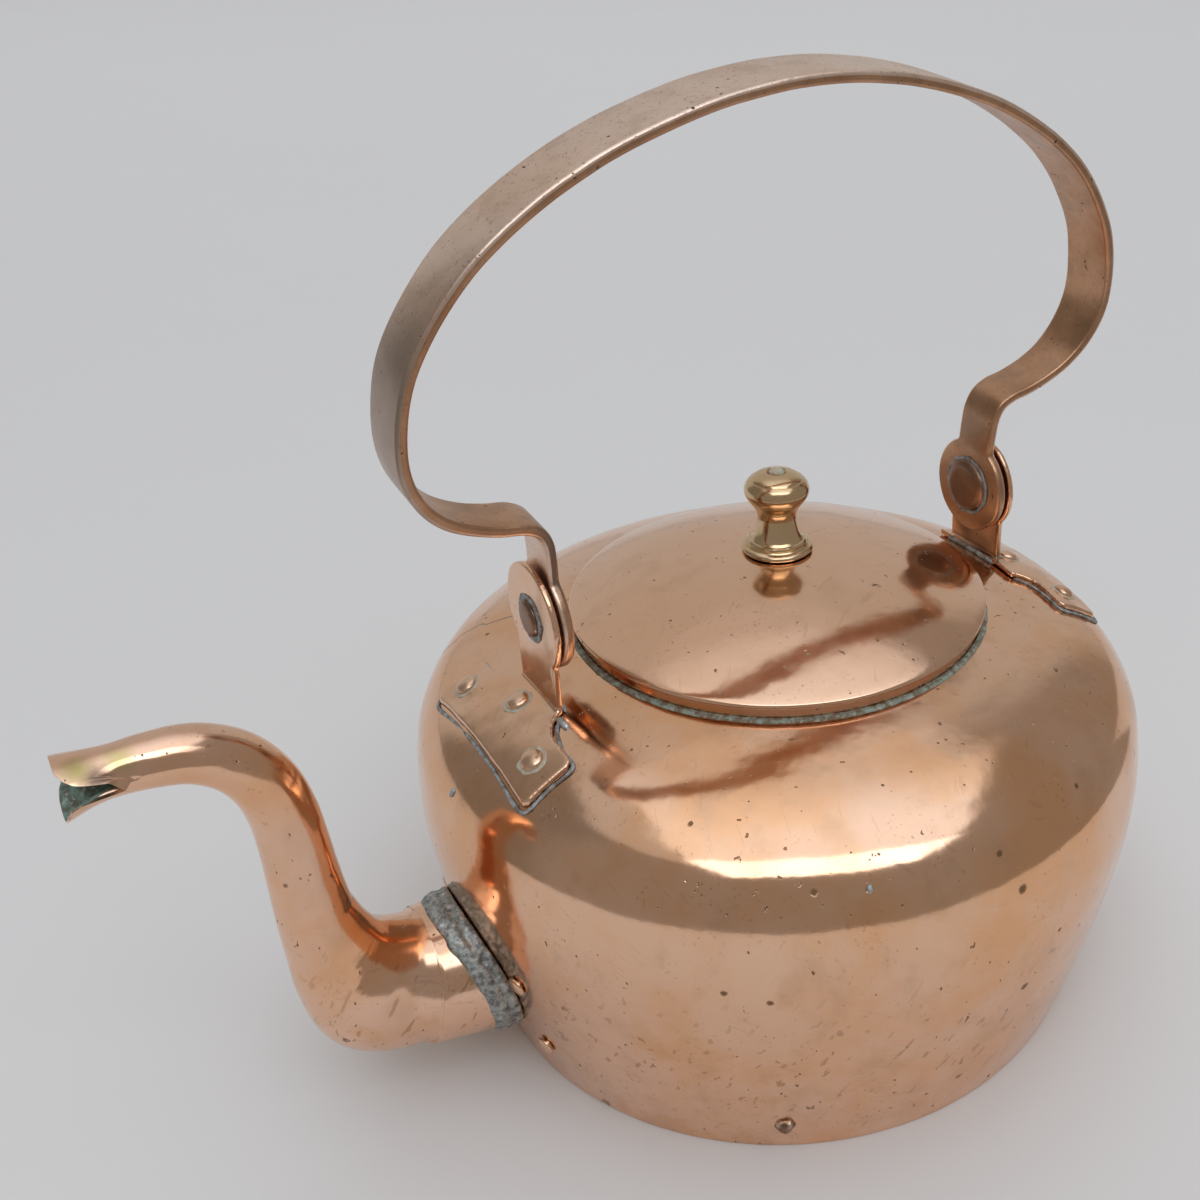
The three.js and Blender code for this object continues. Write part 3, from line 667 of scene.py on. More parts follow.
KNOB_FOOT = 162.25
KNOB = [  # smooth runs of the knob's outline between its sharp edges, (radius, height above the foot)
    [(2.7, -0.1), (9, -0.2), (11.7, -0.4)],
    [(12.0, -0.1), (12.1, 0.5), (11.7, 1.2), (10.7, 1.8)],
    [(10.2, 1.7), (9.8, 2.2), (9.9, 2.9), (9.5, 3.6)],
    [(9.0, 3.7), (8.3, 4.5), (7.4, 6.6), (6.7, 9.5), (6.5, 11.8), (6.9, 13.6), (7.8, 15.4), (9.2, 17.3),
     (10.4, 19.3), (10.85, 20.9), (10.6, 22.4), (9.9, 23.7), (8.9, 24.7)],
    [(8.5, 24.75), (7.9, 25.5), (6.2, 26.5), (4.4, 27.1), (3.4, 27.3), (3.1, 27.0), (2.7, 26.6)],
]
knob_line = [p + Vector((0, KNOB_FOOT)) for run in KNOB for p in spline(run, 6)]
knob = turned_object("knob_turned", knob_line, 96, knob_brass, smooth_angle=30)
belongs(knob, "lid", "knob_brass", "lid_knob")
top_z = KNOB_FOOT + 28.4
knob_pin = turned_object(
    "knob_pin",
    [(0, 157.2), (4.2, 157.3), (4.4, 158.0), (4.2, 158.2), (2.6, 158.2), (2.6, KNOB_FOOT + 26.9),
     (2.6, top_z - 1.1), (2.2, top_z - 0.7), (1.3, top_z - 0.4), (0, top_z - 0.3)], 48, pale_crust,
    warp=lambda v: v + Vector((v.x, v.y, 0.3)) * 0.12 * uneven(v, 1.4, 2) * (v.z > 185), smooth_angle=60)
belongs(knob_pin, "lid", "knob_brass", "knob_rivet")
plate_line = rounded([(2.7, 158.5), (8.5, 158.5), (8.5, 159.5), (2.7, 159.8)], 0.3)
knob_plate = turned_object("knob_plate", plate_line, 64, lid_copper)
belongs(knob_plate, "lid", "copper", "knob_washer")


# ---- spout ----
SPOUT_STRAIGHT_END = -139.0
SPOUT_SIDES = 96


def root_x(y, z, gap=0.3):
    """Where the body's surface stands behind a point of the spout's root."""
    r = body_radius(z) + gap
    return -math.sqrt(max(r * r - y * y, 0.0))


spout_line = spline(SPOUT, 14)
spout_radius = [(-p.x, p.z) for p in spout_line if p.x > -150]
spout_middle = [(-p.x, p.y) for p in spout_line if p.x > -150]


def spout_sides():
    """Matched points on the spout's outer and inner side past its straight, with its half width."""
    rows = []
    for i, here in enumerate(spout_line):
        if here.x > SPOUT_STRAIGHT_END:
            continue
        near = spout_line[i - 1], spout_line[min(i + 1, len(spout_line) - 1)]
        way = Vector((near[1].x - near[0].x, near[1].y - near[0].y)).normalized()
        out = Vector((way.y, -way.x)) * -here.z
        middle = Vector((here.x, here.y))
        rows.append([middle + out, middle - out, here.z])
    elbow_end = next(i for i, row in enumerate(rows) if spout_height(row) > ELBOW_TOP)
    inside_line = spline([rows[0][1], *[Vector(p) for p in ELBOW_INSIDE], rows[elbow_end][1]], 24)
    run = [0.0]
    for i in range(elbow_end):
        run.append(run[-1] + (rows[i + 1][0] - rows[i][0]).length)
    for i in range(elbow_end + 1):
        rows[i][1] = inside_line[round(run[i] / run[-1] * (len(inside_line) - 1))]
    return rows


def spout_height(row):
    return (row[0].y + row[1].y) / 2


def gooseneck(inset, sides):
    """Rings of points along the spout at that depth under its skin, from the body to the mouth."""
    rings = []
    turns = [2 * math.pi * s / sides for s in range(sides)]
    for k in range(14):
        ring = []
        for a in turns:
            r = spout_radius[0][1] - inset
            y, z = -r * math.sin(a), r * math.cos(a)
            x = mix(root_x(y, SPOUT[0][1] + z), SPOUT_STRAIGHT_END, k / 14)
            grown = (along(spout_radius, -x) - inset) / r
            ring.append(Vector((x, y * grown, along(spout_middle, -x) + z * grown)))
        rings.append(ring)
    for outer, inner, half_width in spout_sides():
        middle, reach = (outer + inner) / 2, (inner - outer) / 2
        reach = reach.normalized() * (reach.length - inset)
        half_width = half_width - inset
        ring = []
        for a in turns:
            x = middle.x + reach.x * math.cos(a)
            z = middle.y + reach.y * math.cos(a)
            ring.append(Vector((x, -half_width * math.sin(a), z)))
        rings.append(ring)
    return rings


MOUTH_START = -204.0   # the lips are cut from here on
LIP_GAP = 2.6          # how far the upper lip's sides are bent up from the lower lip's
UPPER_LIP = [  # (share of the height, x)
    (0.0, -208.7), (0.1, -213.5), (0.22, -216.6), (0.36, -219.4), (0.6, -221.3), (0.9, -222.5), (1.0, -222.4),
]
LOWER_LIP = [  # (share of the height, x)
    (0.0, -208.7), (0.03, -216.5), (0.09, -219.6), (0.2, -221.8), (0.5, -223.4), (0.8, -224.4), (1.0, -224.8),
]


def lip_end(share):
    """How far out the mouth reaches, by the height above its middle as a share of its radius."""
    return along(UPPER_LIP if share > 0 else LOWER_LIP, min(abs(share), 1.0))


def trim_mouth(rings):
    """Draws the last rings back, so that a long upper lip stands over a scooped lower one."""
    tip = sum(v.x for v in rings[-1]) / len(rings[-1])
    for ring in rings:
        centre = sum(v.z for v in ring) / len(ring)
        reach = max(max(v.z for v in ring) - centre, 1e-6)
        for v in ring:
            if v.x < MOUTH_START:
                share = (MOUTH_START - v.x) / (MOUTH_START - tip)
                height = (v.z - centre) / reach
                v.x = mix(MOUTH_START, lip_end(height), share)
                part = LIP_GAP * smoothstep(share, 0.25, 1.0) * (1 - abs(height))
                v.z += part if height > 0 else -part * 0.3
    return rings


def spout_mesh():
    outer = trim_mouth(gooseneck(0.0, SPOUT_SIDES))
    inner = trim_mouth(gooseneck(SPOUT_WALL, SPOUT_SIDES))
    lip = [[mix(a, b, 0.5) + (a - c) * 0.25 for a, b, c in zip(outer[-1], inner[-1], outer[-2])]]
    verts, rings = [], []
    for ring in outer + lip + inner[::-1]:
        rings.append(list(range(len(verts), len(verts) + len(ring))))
        for v in ring:
            swell = 0.35 * uneven(v, 15, 3) + 0.12 * uneven(v, 6, 4)
            fade = smoothstep(-v.x, 126, 140) * smoothstep(v.x, -222, -205)
            side = Vector((0, math.copysign(min(abs(v.y) / 6, 1), v.y), 0))
            verts.append(v + side * fade * swell)
    faces = skin(rings, closed_along=True)
    inside = range(len(outer) * SPOUT_SIDES, (len(rings) - 1) * SPOUT_SIDES)
    return verts, faces, inside


verts, faces, inside = spout_mesh()
spout = mesh_object("spout_gooseneck", verts, faces, spout_copper, 50, inner=(inside, mouth_green))
belongs(spout, "kettle_body", "copper", "spout_tube")


def solder_band():
    """The wiped band round the spout's root: a lumpy ring that follows the body's surface."""
    section = [
        (0.0, -0.3), (0.2, 0.8), (1.5, 1.2), (3.5, 1.0), (5.5, 1.35),
        (7.6, 1.15), (8.8, 0.8), (9.5, 0.2), (9.6, -0.4), (5.0, -0.5)]
    loop = spline(section + section[:1], 4)[:-1]
    verts, rings = [], []
    sides = 320
    for s in range(sides):
        a = 2 * math.pi * s / sides
        y, z = -25.6 * math.sin(a), SPOUT[0][1] + 25.6 * math.cos(a)
        x0 = root_x(y, z, 0.15)
        ring = []
        for p in loop:
            base = Vector((x0, y, z))
            wide = 1.0 + 0.12 * uneven(base, 9, 1.5)
            x = x0 - p.x * wide
            lump = 0.0
            if p.y > 0.4:
                lump = 0.34 * uneven((x, y, z), 3.4, 8) + 0.26 * uneven((x, y, z), 1.5, 9)
            r = along(spout_radius, -x) + p.y + lump
            ring.append(len(verts))
            height = along(spout_middle, -x) + r * math.cos(a)
            verts.append(Vector((x - 0.3 * uneven(base, 3, 4) * (p.x > 7), -r * math.sin(a), height)))
        rings.append(ring)
    return verts, skin(rings, closed_along=True)


verts, faces = solder_band()
band = mesh_object("spout_band", verts, faces, band_solder, 80)
belongs(band, "kettle_body", "grey_solder", "spout_solder_band")


# ---- rivets ----
def stand_on_body(x, y, z):
    turn = Vector((0, 0, 1)).rotation_difference(body_normal(x, y, z)).to_matrix().to_4x4()
    return Matrix.Translation((x, y, z)) @ turn


def rivet(name, place, head_r, head_h, outer, inner, nodes):
    """Domed head outside, a shank through the sheets and a burred tail inside."""
    dome = [(head_r * math.sin(t), outer + 0.3 + (head_h - 0.3) * math.cos(t)) for t in
            [math.pi / 2 * k / 10 for k in range(10, -1, -1)]]
    tail = [(0, inner - 0.8), (2.6, inner - 0.75), (3.1, inner - 0.3), (3.1, inner)]
    profile = [*tail, (1.75, inner), (1.75, outer), (head_r - 0.2, outer), (head_r, outer + 0.15), *dome]
    made = turned_object(
        name, profile, 40, rivet_copper, turn=stand_on_body(*place), smooth_angle=50,
        warp=lambda v: v + outward(v) * 0.05 * uneven(v + Vector(place), 3.0, 1.0),
    )
    return belongs(made, "kettle_body", "copper", *nodes)


def crust_ring(name, place, low, inner_r, outer_r, height):
    """The pale crust that rings a rivet, ragged at its outer edge."""
    foot = [(inner_r, low - 0.3), (outer_r, low - 0.3)]
    top = [(outer_r - 0.1, low + height * 0.6), (inner_r, low + height)]

    def ragged(v):
        edge = math.hypot(v.x, v.y) > inner_r + 0.2
        return v * (1 + 0.10 * uneven(v + Vector(place), 2.2, 6.0) * edge)

    made = turned_object(name, rounded(foot + top, 0.2), 56, pale_crust, ragged, stand_on_body(*place))
    return belongs(made, "kettle_body", "green_solder")

for i, (y, z) in enumerate(SPOUT_RIVETS, 1):
    place = (-math.sqrt(body_radius(z) ** 2 - y * y), y, z)
    rivet(f"spout_rivet_{i}_set", place, 3.4, 1.5, 0.3, -3.4, [f"spout_rivet_{i}"])

plate_top = BRACKET_T + 0.5
for side_name, side in (("left", -1), ("right", 1)):
    turn = FOOT_TURN[side_name]
    for i, (px, py) in enumerate(FOOT_RIVETS, 1):
        x = px * math.cos(turn) - py * math.sin(turn)
        y = px * math.sin(turn) + py * math.cos(turn)
        place = (side * x, y, body_height(math.hypot(x, y)))
        name = f"{side_name}_bracket_rivet_{i}"
        rivet(name + "_set", place, 3.7, 1.9, plate_top, -1.9, [name])
        crust_ring(name + "_ring", place, plate_top - 0.2, 3.3, 4.9, 0.3)


# ---- brackets ----
NOTCH_R = 9.8
CORNER = 1.6
HEEL = [(86, -13), (98, -13), (98, 17.6), (86, 17.6)]


def foot_plan():
    """Plan outline of the foot, with a round notch at each side of the upright."""
    x0, x1 = FOOT_X
    notch_x, notch_y = x0 - NOTCH_R, STRAP_HALF + NOTCH_R
    reach = math.acos((PLATE_X[0] - notch_x) / NOTCH_R)
    half = []
    for k in range(9):
        a = reach * (1 - k / 8)
        half.append((notch_x + NOTCH_R * math.cos(a), notch_y - NOTCH_R * math.sin(a)))
    cut = FOOT_HALF - CORNER
    half += [(x0, cut), (x0 + CORNER, FOOT_HALF), (x1 - CORNER, FOOT_HALF), (x1, cut)]
    return half + [(x, -y) for x, y in reversed(half)]


def upright_outline():
    join = math.asin(STRAP_HALF / BRACKET_EAR_R)
    arc = [-math.pi / 2 + join + (2 * math.pi - 2 * join) * k / 48 for k in range(49)]
    return [(-STRAP_HALF, 124), (STRAP_HALF, 124)] + [
        (BRACKET_EAR_R * math.cos(a), PIVOT_Z + BRACKET_EAR_R * math.sin(a)) for a in arc]


def body_fill(name, distance):
    """Solid filled out to the body's smooth surface plus a distance, from the shoulder up."""
    line = [p for p in shifted(body_line, distance) if p.y > 96]
    return turned_object(name, [(0, 96), *line, (0, line[-1].y)], 256, bracket_copper)


def bracket(side_name, side):
    turn = FOOT_TURN[side_name]

    def stood(u, v, w):
        return Vector((u * math.cos(turn) - v * math.sin(turn), u * math.sin(turn) + v * math.cos(turn), w))

    plate = mesh_object(f"{side_name}_bail_bracket", *prism(foot_plan(), 100, 160, stood), bracket_copper)
    if turn:
        heel = prism(HEEL, 100, 160, lambda u, v, w: Vector((u, v, w)))
        combine(plate, mesh_object("heel", *heel, bracket_copper), "UNION")
    combine(plate, body_fill("fill", 0.3 + BRACKET_T), "INTERSECT")
    strap = prism(upright_outline(), *PLATE_X, lambda u, v, w: Vector((w, u, v)))
    combine(plate, mesh_object("strap", *strap, bracket_copper), "UNION")
    combine(plate, body_fill("fill", 0.3), "DIFFERENCE")
    soften(plate, 0.5, 4)
    push(plate, lambda p: 0.22 * uneven(p, 9, side * 3.0) + 0.06)
    if side < 0:
        plate.data.transform(Matrix.Scale(-1, 4, (1, 0, 0)))
        plate.data.flip_normals()
    plate.data.shade_smooth()
    return belongs(plate, "kettle_body", "copper", f"{side_name}_bracket")


for side_name, side in (("left", -1), ("right", 1)):
    bracket(side_name, side)


# ---- pivots ----
def along_x(side):
    """Turns a piece drawn along +Z to point outward along X, at the pivot."""
    return Matrix.Translation((0, 0, PIVOT_Z)) @ Matrix.Rotation(side * math.pi / 2, 4, "Y")


INNER_HEAD = [(0, 80.05), (5.0, 80.1), (7.4, 80.3), (8.8, 80.9), (9.55, 81.6), (9.7, 82.1)]
OUTER_HEAD = [(5.9, 89.75), (5.95, 90.2), (5.2, 90.9), (3.2, 91.3), (0, 91.4)]
for side_name, side in (("left", -1), ("right", 1)):
    shank = [Vector((9.6, 82.4)), Vector((4.0, 82.4)), Vector((4.0, 89.6))]
    pin_line = [*spline(INNER_HEAD, 5), *shank, *spline(OUTER_HEAD, 5)]
    pin = turned_object(
        f"{side_name}_pivot_pin", pin_line, 72, pivot_copper, turn=along_x(side),
        warp=lambda v: v + outward(v) * 0.05 * uneven(v, 6, 2.0), smooth_angle=50,
    )
    belongs(pin, "kettle_body", "dark_copper", f"{side_name}_pivot_rivet")
    ring = turned_object(
        f"{side_name}_pivot_ring", rounded(rectangle(4.5, 9.6, 86.45, 87.1), 0.25), 96, pale_crust,
        turn=along_x(side), warp=lambda v: v + outward(v) * 0.06 * uneven(v, 2.5, 3.0),
    )
    belongs(ring, "kettle_body", "grey_solder", f"{side_name}_pivot_washer")


# ---- bail ----
def bail_section(width):
    """Rounded cross-section of the strap, (across, out)."""
    corner = min(1.15, width * 0.25)
    half_w, half_t = width / 2, BAIL_T / 2
    out = []
    for cx, cy, start in ((1, 1, 0), (-1, 1, 90), (-1, -1, 180), (1, -1, 270)):
        for k in range(5):
            a = math.radians(start + 90 * k / 4)
            across = cx * (half_w - corner) + corner * math.cos(a)
            out.append((across, cy * (half_t - corner) + corner * math.sin(a)))
    return out


def bail_mesh():
    top = [(-x, z) for x, z in BAIL_LINE[2:0:-1]]
    half = spline(top + BAIL_LINE, 12)
    half = [p for p in half if p.x >= 0]
    ear_x = sum(EAR_X) / 2
    drop = [math.pi * k / 40 for k in range(1, 41)]
    ear = [Vector((ear_x, PIVOT_Z + EAR_R * math.cos(t))) for t in drop]
    ear = [p for p in ear if p.y < half[-1].y - 0.2]
    right = half + ear
    line = [Vector((-p.x, p.y)) for p in reversed(right)] + right[1 if right[0].x < 0.01 else 0:]
    verts, rings = [], []
    sides = len(bail_section(20))
    up, down = Matrix.Translation((0, 0, PIVOT_Z)), Matrix.Translation((0, 0, -PIVOT_Z))
    lean = up @ Matrix.Rotation(BAIL_LEAN, 4, "X") @ down
    for i, p in enumerate(line):
        way = (line[min(i + 1, len(line) - 1)] - line[max(i - 1, 0)]).normalized()
        chord = 2 * math.sqrt(max(EAR_R ** 2 - (p.y - PIVOT_Z) ** 2, 0.0))
        width = max(along(BAIL_WIDTH, p.y), chord) if p.y > PIVOT_Z else max(chord, 0.6)
        if p.y < 200:
            width = (width ** 12 + (chord + 0.01) ** 12) ** (1 / 12) if chord < width else width
        ring = []
        for across, out in bail_section(width):
            v = Vector((p.x - way.y * out, across, p.y + way.x * out))
            v.x += 1.4 * smoothstep(v.z, 200, 230)
            v += Vector((way.y, 0, -way.x)) * 0.12 * uneven(v, 14, 5)
            v.y += 0.12 * uneven(v, 11, 6) * (1 if across > 0 else -1)
            ring.append(len(verts))
            verts.append(lean @ v)
        rings.append(ring)
    faces = skin(rings)
    # the faces of the strap's inner side, for the darker copper that paints shade there
    painted_shade_faces = [i for i in range(len(faces)) if PAINTED_SHADE_SIDES[0] <= i % sides < PAINTED_SHADE_SIDES[1]]
    faces += [tuple(rings[0]), tuple(reversed(rings[-1]))]
    return verts, faces, painted_shade_faces


PAINTED_SHADE_SIDES = (9, 16)   # faces of the section on the strap's inner side, which get the darker copper of painted shade
verts, faces, painted_shade_faces = bail_mesh()
bail = mesh_object("bail_hoop", verts, faces, bail_copper, 50, inner=(painted_shade_faces, bail_painted_shade))
belongs(bail, "bail", "dark_copper", "bail_handle")


# ---- solder beads and drops ----
def drop_of_solder(name, place, way, size, material, slot="grey_solder"):
    """A lump of solder, size = (length, width, height), lying along way on the body's surface."""
    base = Vector(place)
    up = body_normal(*base)
    across = up.cross(Vector(way)).normalized()
    ahead = across.cross(up).normalized()
    frame_of = Matrix((ahead, across, up)).transposed()
    verts, rings = [], []
    bands, sides = 10, 28
    for k in range(bands + 1):
        lift = math.pi * k / bands
        ring = []
        for s in range(sides):
            a = 2 * math.pi * s / sides
            x = size[0] / 2 * math.sin(lift) * math.cos(a)
            y = size[1] / 2 * math.sin(lift) * math.sin(a)
            v = Vector((x, y, size[2] * math.cos(lift)))
            v *= 1 + 0.3 * uneven(v + base, 2.4, 1.0)
            ring.append(len(verts))
            verts.append(base + frame_of @ v)
        rings.append(ring)
    made = mesh_object(name, verts, skin(rings), material, 60)
    return belongs(made, "kettle_body", slot)


SEAM_SIDES = 14


def seam_of_solder(name, route, radius, material):
    """A lumpy bead along a route of plan points (x, y) on the shoulder."""
    line = []
    for p in spline(route, 14):
        z = body_height(math.hypot(p.x, p.y))
        line.append(Vector((p.x, p.y, z)) + body_normal(p.x, p.y, z) * radius * 0.55)
    verts, rings = [], []
    for i, p in enumerate(line):
        way = (line[min(i + 1, len(line) - 1)] - line[max(i - 1, 0)]).normalized()
        up = body_normal(*p)
        across = way.cross(up).normalized()
        ends = min(i, len(line) - 1 - i) / 4
        size = radius * (0.25 + 0.75 * smoothstep(ends, 0, 1)) * (1 + 0.35 * uneven(p, 3.5, radius))
        ring = []
        for k in range(SEAM_SIDES):
            a = 2 * math.pi * k / SEAM_SIDES
            v = p + across * size * math.cos(a) + up * size * 0.8 * math.sin(a)
            ring.append(len(verts))
            verts.append(v + up * 0.12 * uneven(v, 1.2, 3))
        rings.append(ring)
    faces = skin(rings) + [tuple(rings[0]), tuple(reversed(rings[-1]))]
    return belongs(mesh_object(name, verts, faces, material, 70), "kettle_body", "grey_solder")


def foot_point(side_name, side, x, y):
    turn = FOOT_TURN[side_name]
    return (side * (x * math.cos(turn) - y * math.sin(turn)), x * math.sin(turn) + y * math.cos(turn))


EDGE_OUT = 0.5   # how far past the foot's edge its solder lies
for side_name, side in (("left", -1), ("right", 1)):
    x0, x1 = FOOT_X[0] - EDGE_OUT, FOOT_X[1] + EDGE_OUT
    end = FOOT_HALF + EDGE_OUT
    front = [
        (x1, 12), (x1, -10), (x1, -end + 1.4), (x1 - 1.4, -end), (103, -end), (x0 + 1.2, -end),
        (x0, -end + 1.6), (x0, -27), (x0 - 0.8, -22.8), (x0 - 2.6, -17.5), (x0 - 6.2, -14.2)]
    rear = [
        (x1, 12), (x1, end - 1.4), (x1 - 1.4, end), (103, end), (x0 + 1.2, end), (x0, end - 1.6), (x0, 27)]
    for part, route in (("front", front), ("rear", rear)):
        line = [foot_point(side_name, side, *p) for p in route]
        seam_of_solder(f"{side_name}_foot_{part}_seam", line, 0.62, blue_crust)
    inner = [(PLATE_X[0] - 0.9, y) for y in (-13.5, -8, -2, 4, 9, 13.5)]
    size, material = (1.5, blue_crust) if side > 0 else (0.9, blob_solder)
    seam_of_solder(f"{side_name}_heel_seam", [(side * x, y) for x, y in inner], size, material)

HALOS = [("inner", 8.9, 10.9, 81.9, 82.62), ("outer", 5.7, 7.9, 89.3, 89.85)]  # radii, then places along X


def crust_wave(v):
    return v + outward(v).normalized() * 0.55 * uneven(v, 2.6, 4.0) + Vector((0, 0, 0.1)) * uneven(v, 1.3, 1)


for side_name, side in (("left", -1), ("right", 1)):
    for part, inner_r, outer_r, low, high in HALOS:
        halo = turned_object(
            f"{side_name}_pivot_{part}_crust", rounded(rectangle(inner_r, outer_r, low, high), 0.25),
            90, blue_crust, turn=along_x(side), smooth_angle=70,
            warp=crust_wave,
        )
        belongs(halo, "kettle_body", "green_solder")

drop_of_solder("shoulder_drop_1", (-42.7, -112.8, 115.4), (0, 0, 1), (2.6, 1.8, 0.7), blob_solder)
drop_of_solder("shoulder_drop_2", (-122.4, -3, 112.8), (0, 0, 1), (3.0, 2.0, 0.8), blob_solder)
drop_of_solder(
    "foot_lump", (-61.2, -96.4, 14.7), (1, -0.6, 0.4), (7.5, 5.5, 2.3), pivot_copper, slot="dark_copper")
drop_of_solder("notch_blob", (-89.2, -16.5, 133.6), (0, 1, 0), (7.0, 3.0, 1.6), blob_solder)

# CAD nodes that stay, out of sight inside the kettle
for node, finish in (("spout_flange", hidden_copper), ("bottom_seam_ring", band_solder)):
    for material_slot in frame["nodes"][node].material_slots:
        material_slot.material = finish


# ---- stage, light and camera ----
def stage_floor(name, wedges):
    """Flat wedges (start, end, inner radius, outer radius), bearings in degrees from the front, metres."""
    paint = Paint(name + "_paper", metallic=0.0)
    tone = paint.mix(paint.noise(400, 2), (0.80, 0.775, 0.755), (0.82, 0.795, 0.775))
    material = paint.finish(tone, 0.9)
    verts, faces = [], []
    for start, end, r0, r1 in wedges:
        steps = max(int((end - start) / 5), 1)
        for k in range(steps):
            first = len(verts)
            for bearing, r in ((0, r0), (1, r0), (1, r1), (0, r1)):
                a = math.radians(start + (end - start) * (k + bearing) / steps)
                verts.append(Vector((math.sin(a) * r, -math.cos(a) * r, 0)) / MM)
            faces.append((first, first + 1, first + 2, first + 3))
    made = mesh_object(name, verts, faces, material)
    return made


NEAR_FLOOR = 0.42
FAR_FLOOR = 6.0
stage_floor("floor", [(-115, 85, 0.001, NEAR_FLOOR), (85, 245, 0.001, FAR_FLOOR)])
outer_floor = stage_floor("outer_floor", [(-115, 85, NEAR_FLOOR, FAR_FLOOR)])
outer_floor.visible_glossy = False


def bearing_vector(degrees):
    a = math.radians(degrees)
    return (math.sin(a), -math.cos(a), 0.0)


def room_light():
    """A plain studio: pale backdrop behind, pale ceiling, darker room in front."""
    world = bpy.data.worlds.new("studio")
    world.use_nodes = True
    bpy.context.scene.world = world
    tree = world.node_tree
    tree.nodes.clear()
    output = tree.nodes.new("ShaderNodeOutputWorld")
    background = tree.nodes.new("ShaderNodeBackground")
    tree.links.new(background.outputs[0], output.inputs["Surface"])
    room = Paint.__new__(Paint)
    room.tree = tree
    direction = tree.nodes.new("ShaderNodeTexCoord").outputs["Generated"]
    flat = room.vector("MULTIPLY", direction, (1, 1, 0))
    level = room.vector("NORMALIZE", flat, (0, 0, 0))
    separate = tree.nodes.new("ShaderNodeSeparateXYZ")
    tree.links.new(direction, separate.inputs[0])
    height = separate.outputs["Z"]
    left = room.ramp(room.vector("DOT_PRODUCT", level, bearing_vector(-132)), 0.80, 0.95)
    colour = room.mix(left, (0.30, 0.285, 0.27), (0.225, 0.215, 0.20))
    behind = room.ramp(room.vector("DOT_PRODUCT", level, bearing_vector(157.5)), 0.62, 0.74)
    behind = room.times(behind, room.ramp(height, -0.05, 0.02))
    colour = room.mix(behind, colour, (0.50, 0.50, 0.49))
    colour = room.mix(room.ramp(height, 0.785, 0.815), colour, (0.55, 0.55, 0.55))
    toward = room.vector("DOT_PRODUCT", direction, bearing_vector(SOFTBOX_BEARING))
    across = room.vector("DOT_PRODUCT", direction, bearing_vector(SOFTBOX_BEARING + 90))
    overhead = room.math("MAXIMUM", height, 0.05)
    toward = room.math("DIVIDE", toward, overhead)
    across = room.math("DIVIDE", across, overhead)
    across = room.math("ABSOLUTE", room.math("SUBTRACT", across, SOFTBOX_SIDE))
    glow = room.ramp(toward, GLOW_FROM, GLOW_FULL)
    glow = room.times(glow, room.ramp(toward, GLOW_CUT - 0.02, GLOW_CUT + 0.02))
    glow = room.times(glow, room.ramp(across, SOFTBOX_HALF - 0.03, SOFTBOX_HALF + 0.02, 1.0, 0.0))
    glow = room.times(glow, room.ramp(toward, SOFTBOX_FAR - 0.02, SOFTBOX_FAR + 0.02, 1.0, 0.0))
    colour = room.mix(glow, colour, tuple(SOFTBOX_RADIANCE * c for c in SOFTBOX_COLOUR))
    camera_ray = tree.nodes.new("ShaderNodeLightPath").outputs["Is Camera Ray"]
    colour = room.mix(camera_ray, colour, (0.53, 0.53, 0.535))
    tree.links.new(colour, background.inputs["Color"])


SOFTBOX_BEARING = -24     # degrees from the front
SOFTBOX_RADIANCE = 1.25
SOFTBOX_COLOUR = (0.93, 1.0, 1.09)
SOFTBOX_HEIGHT = 1.45     # metres; the rest are shares of it, measured across from overhead
GLOW_FROM = -0.75         # the ceiling brightens from here
GLOW_CUT = -0.5           # and only past this edge
GLOW_FULL = 0.25
SOFTBOX_SIDE = 0.14
SOFTBOX_NEAR = 0.45
SOFTBOX_FAR = 0.986
SOFTBOX_HALF = 0.60


def area_light(name, size, radiance, place, bearing):
    light = bpy.data.lights.new(name, "AREA")
    light.shape = "RECTANGLE"
    light.size, light.size_y = size
    light.energy = radiance * math.pi * size[0] * size[1]
    light.color = SOFTBOX_COLOUR
    lamp = bpy.data.objects.new(name, light)
    lamp.location = place
    lamp.rotation_euler = (0, 0, math.radians(bearing))
    lamp.visible_camera = False
    bpy.context.scene.collection.objects.link(lamp)
    return lamp


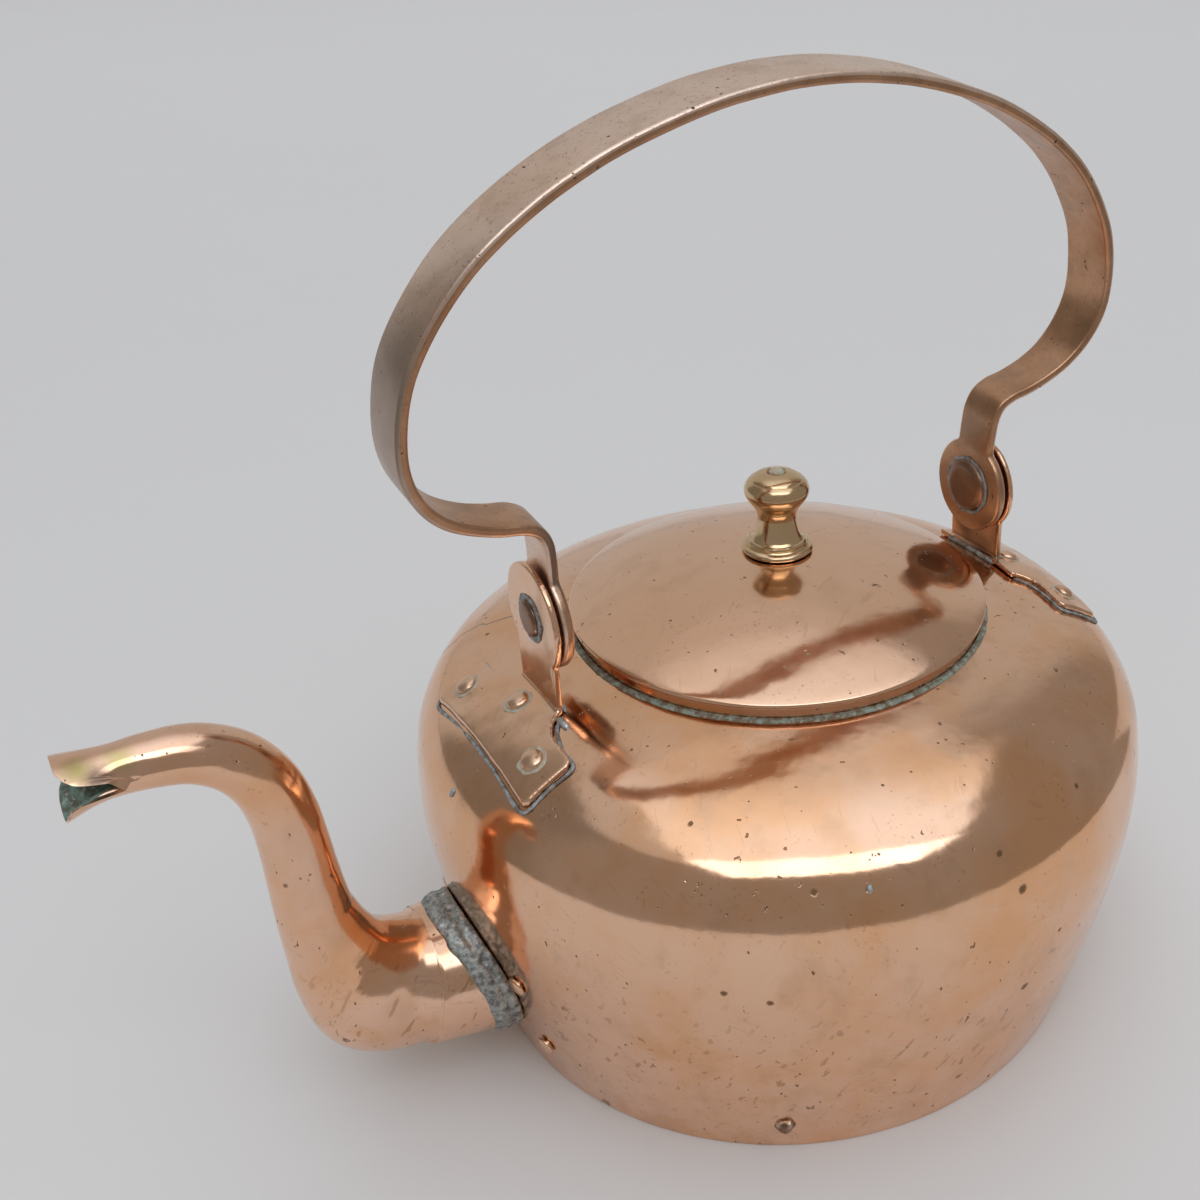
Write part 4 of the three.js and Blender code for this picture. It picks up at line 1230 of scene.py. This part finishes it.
room_light()
softbox_middle = (SOFTBOX_NEAR + SOFTBOX_FAR) / 2 * SOFTBOX_HEIGHT
softbox_place = Vector(bearing_vector(SOFTBOX_BEARING)) * softbox_middle + Vector((0, 0, SOFTBOX_HEIGHT))
softbox_place += Vector(bearing_vector(SOFTBOX_BEARING + 90)) * SOFTBOX_SIDE * SOFTBOX_HEIGHT
softbox_size = (2 * SOFTBOX_HALF * SOFTBOX_HEIGHT, (SOFTBOX_FAR - SOFTBOX_NEAR) * SOFTBOX_HEIGHT)
area_light("softbox", softbox_size, SOFTBOX_RADIANCE, softbox_place, SOFTBOX_BEARING)
BACK_BEARING = 150         # the backdrop's lamp: degrees from the front
BACK_AWAY = 2.4            # and metres out and up
back_place = Vector(bearing_vector(BACK_BEARING)) * BACK_AWAY + Vector((0, 0, BACK_AWAY))
back_lamp = area_light("backdrop_lamp", (5.0, 3.0), 0.24, back_place, BACK_BEARING)
back_lamp.visible_glossy = False

CAMERA_BEARING = math.radians(-33.62)
CAMERA_HEIGHT = math.radians(29.65)
CAMERA_ROLL = math.radians(-0.15)
CAMERA_DISTANCE = 0.4733
CAMERA_SIDESTEP = 0.00758
CAMERA_AIM = 0.1412
out_share = math.cos(CAMERA_HEIGHT)
back = Vector((
    math.sin(CAMERA_BEARING) * out_share, -math.cos(CAMERA_BEARING) * out_share, math.sin(CAMERA_HEIGHT)))
level = Vector((math.cos(CAMERA_BEARING), math.sin(CAMERA_BEARING), 0))
upward = back.cross(level)
right = level * math.cos(CAMERA_ROLL) + upward * math.sin(CAMERA_ROLL)
lens = bpy.data.cameras.new("camera")
lens.lens = 41.31
lens.sensor_width = 36
lens.shift_x = -1 / 6
camera = bpy.data.objects.new("camera", lens)
camera.location = level * CAMERA_SIDESTEP + Vector((0, 0, CAMERA_AIM)) + back * CAMERA_DISTANCE
camera.rotation_mode = "QUATERNION"
camera.rotation_quaternion = Matrix((right, back.cross(right), back)).transposed().to_quaternion()
bpy.context.scene.collection.objects.link(camera)
bpy.context.scene.camera = camera
bpy.context.scene.view_settings.view_transform = "Standard"
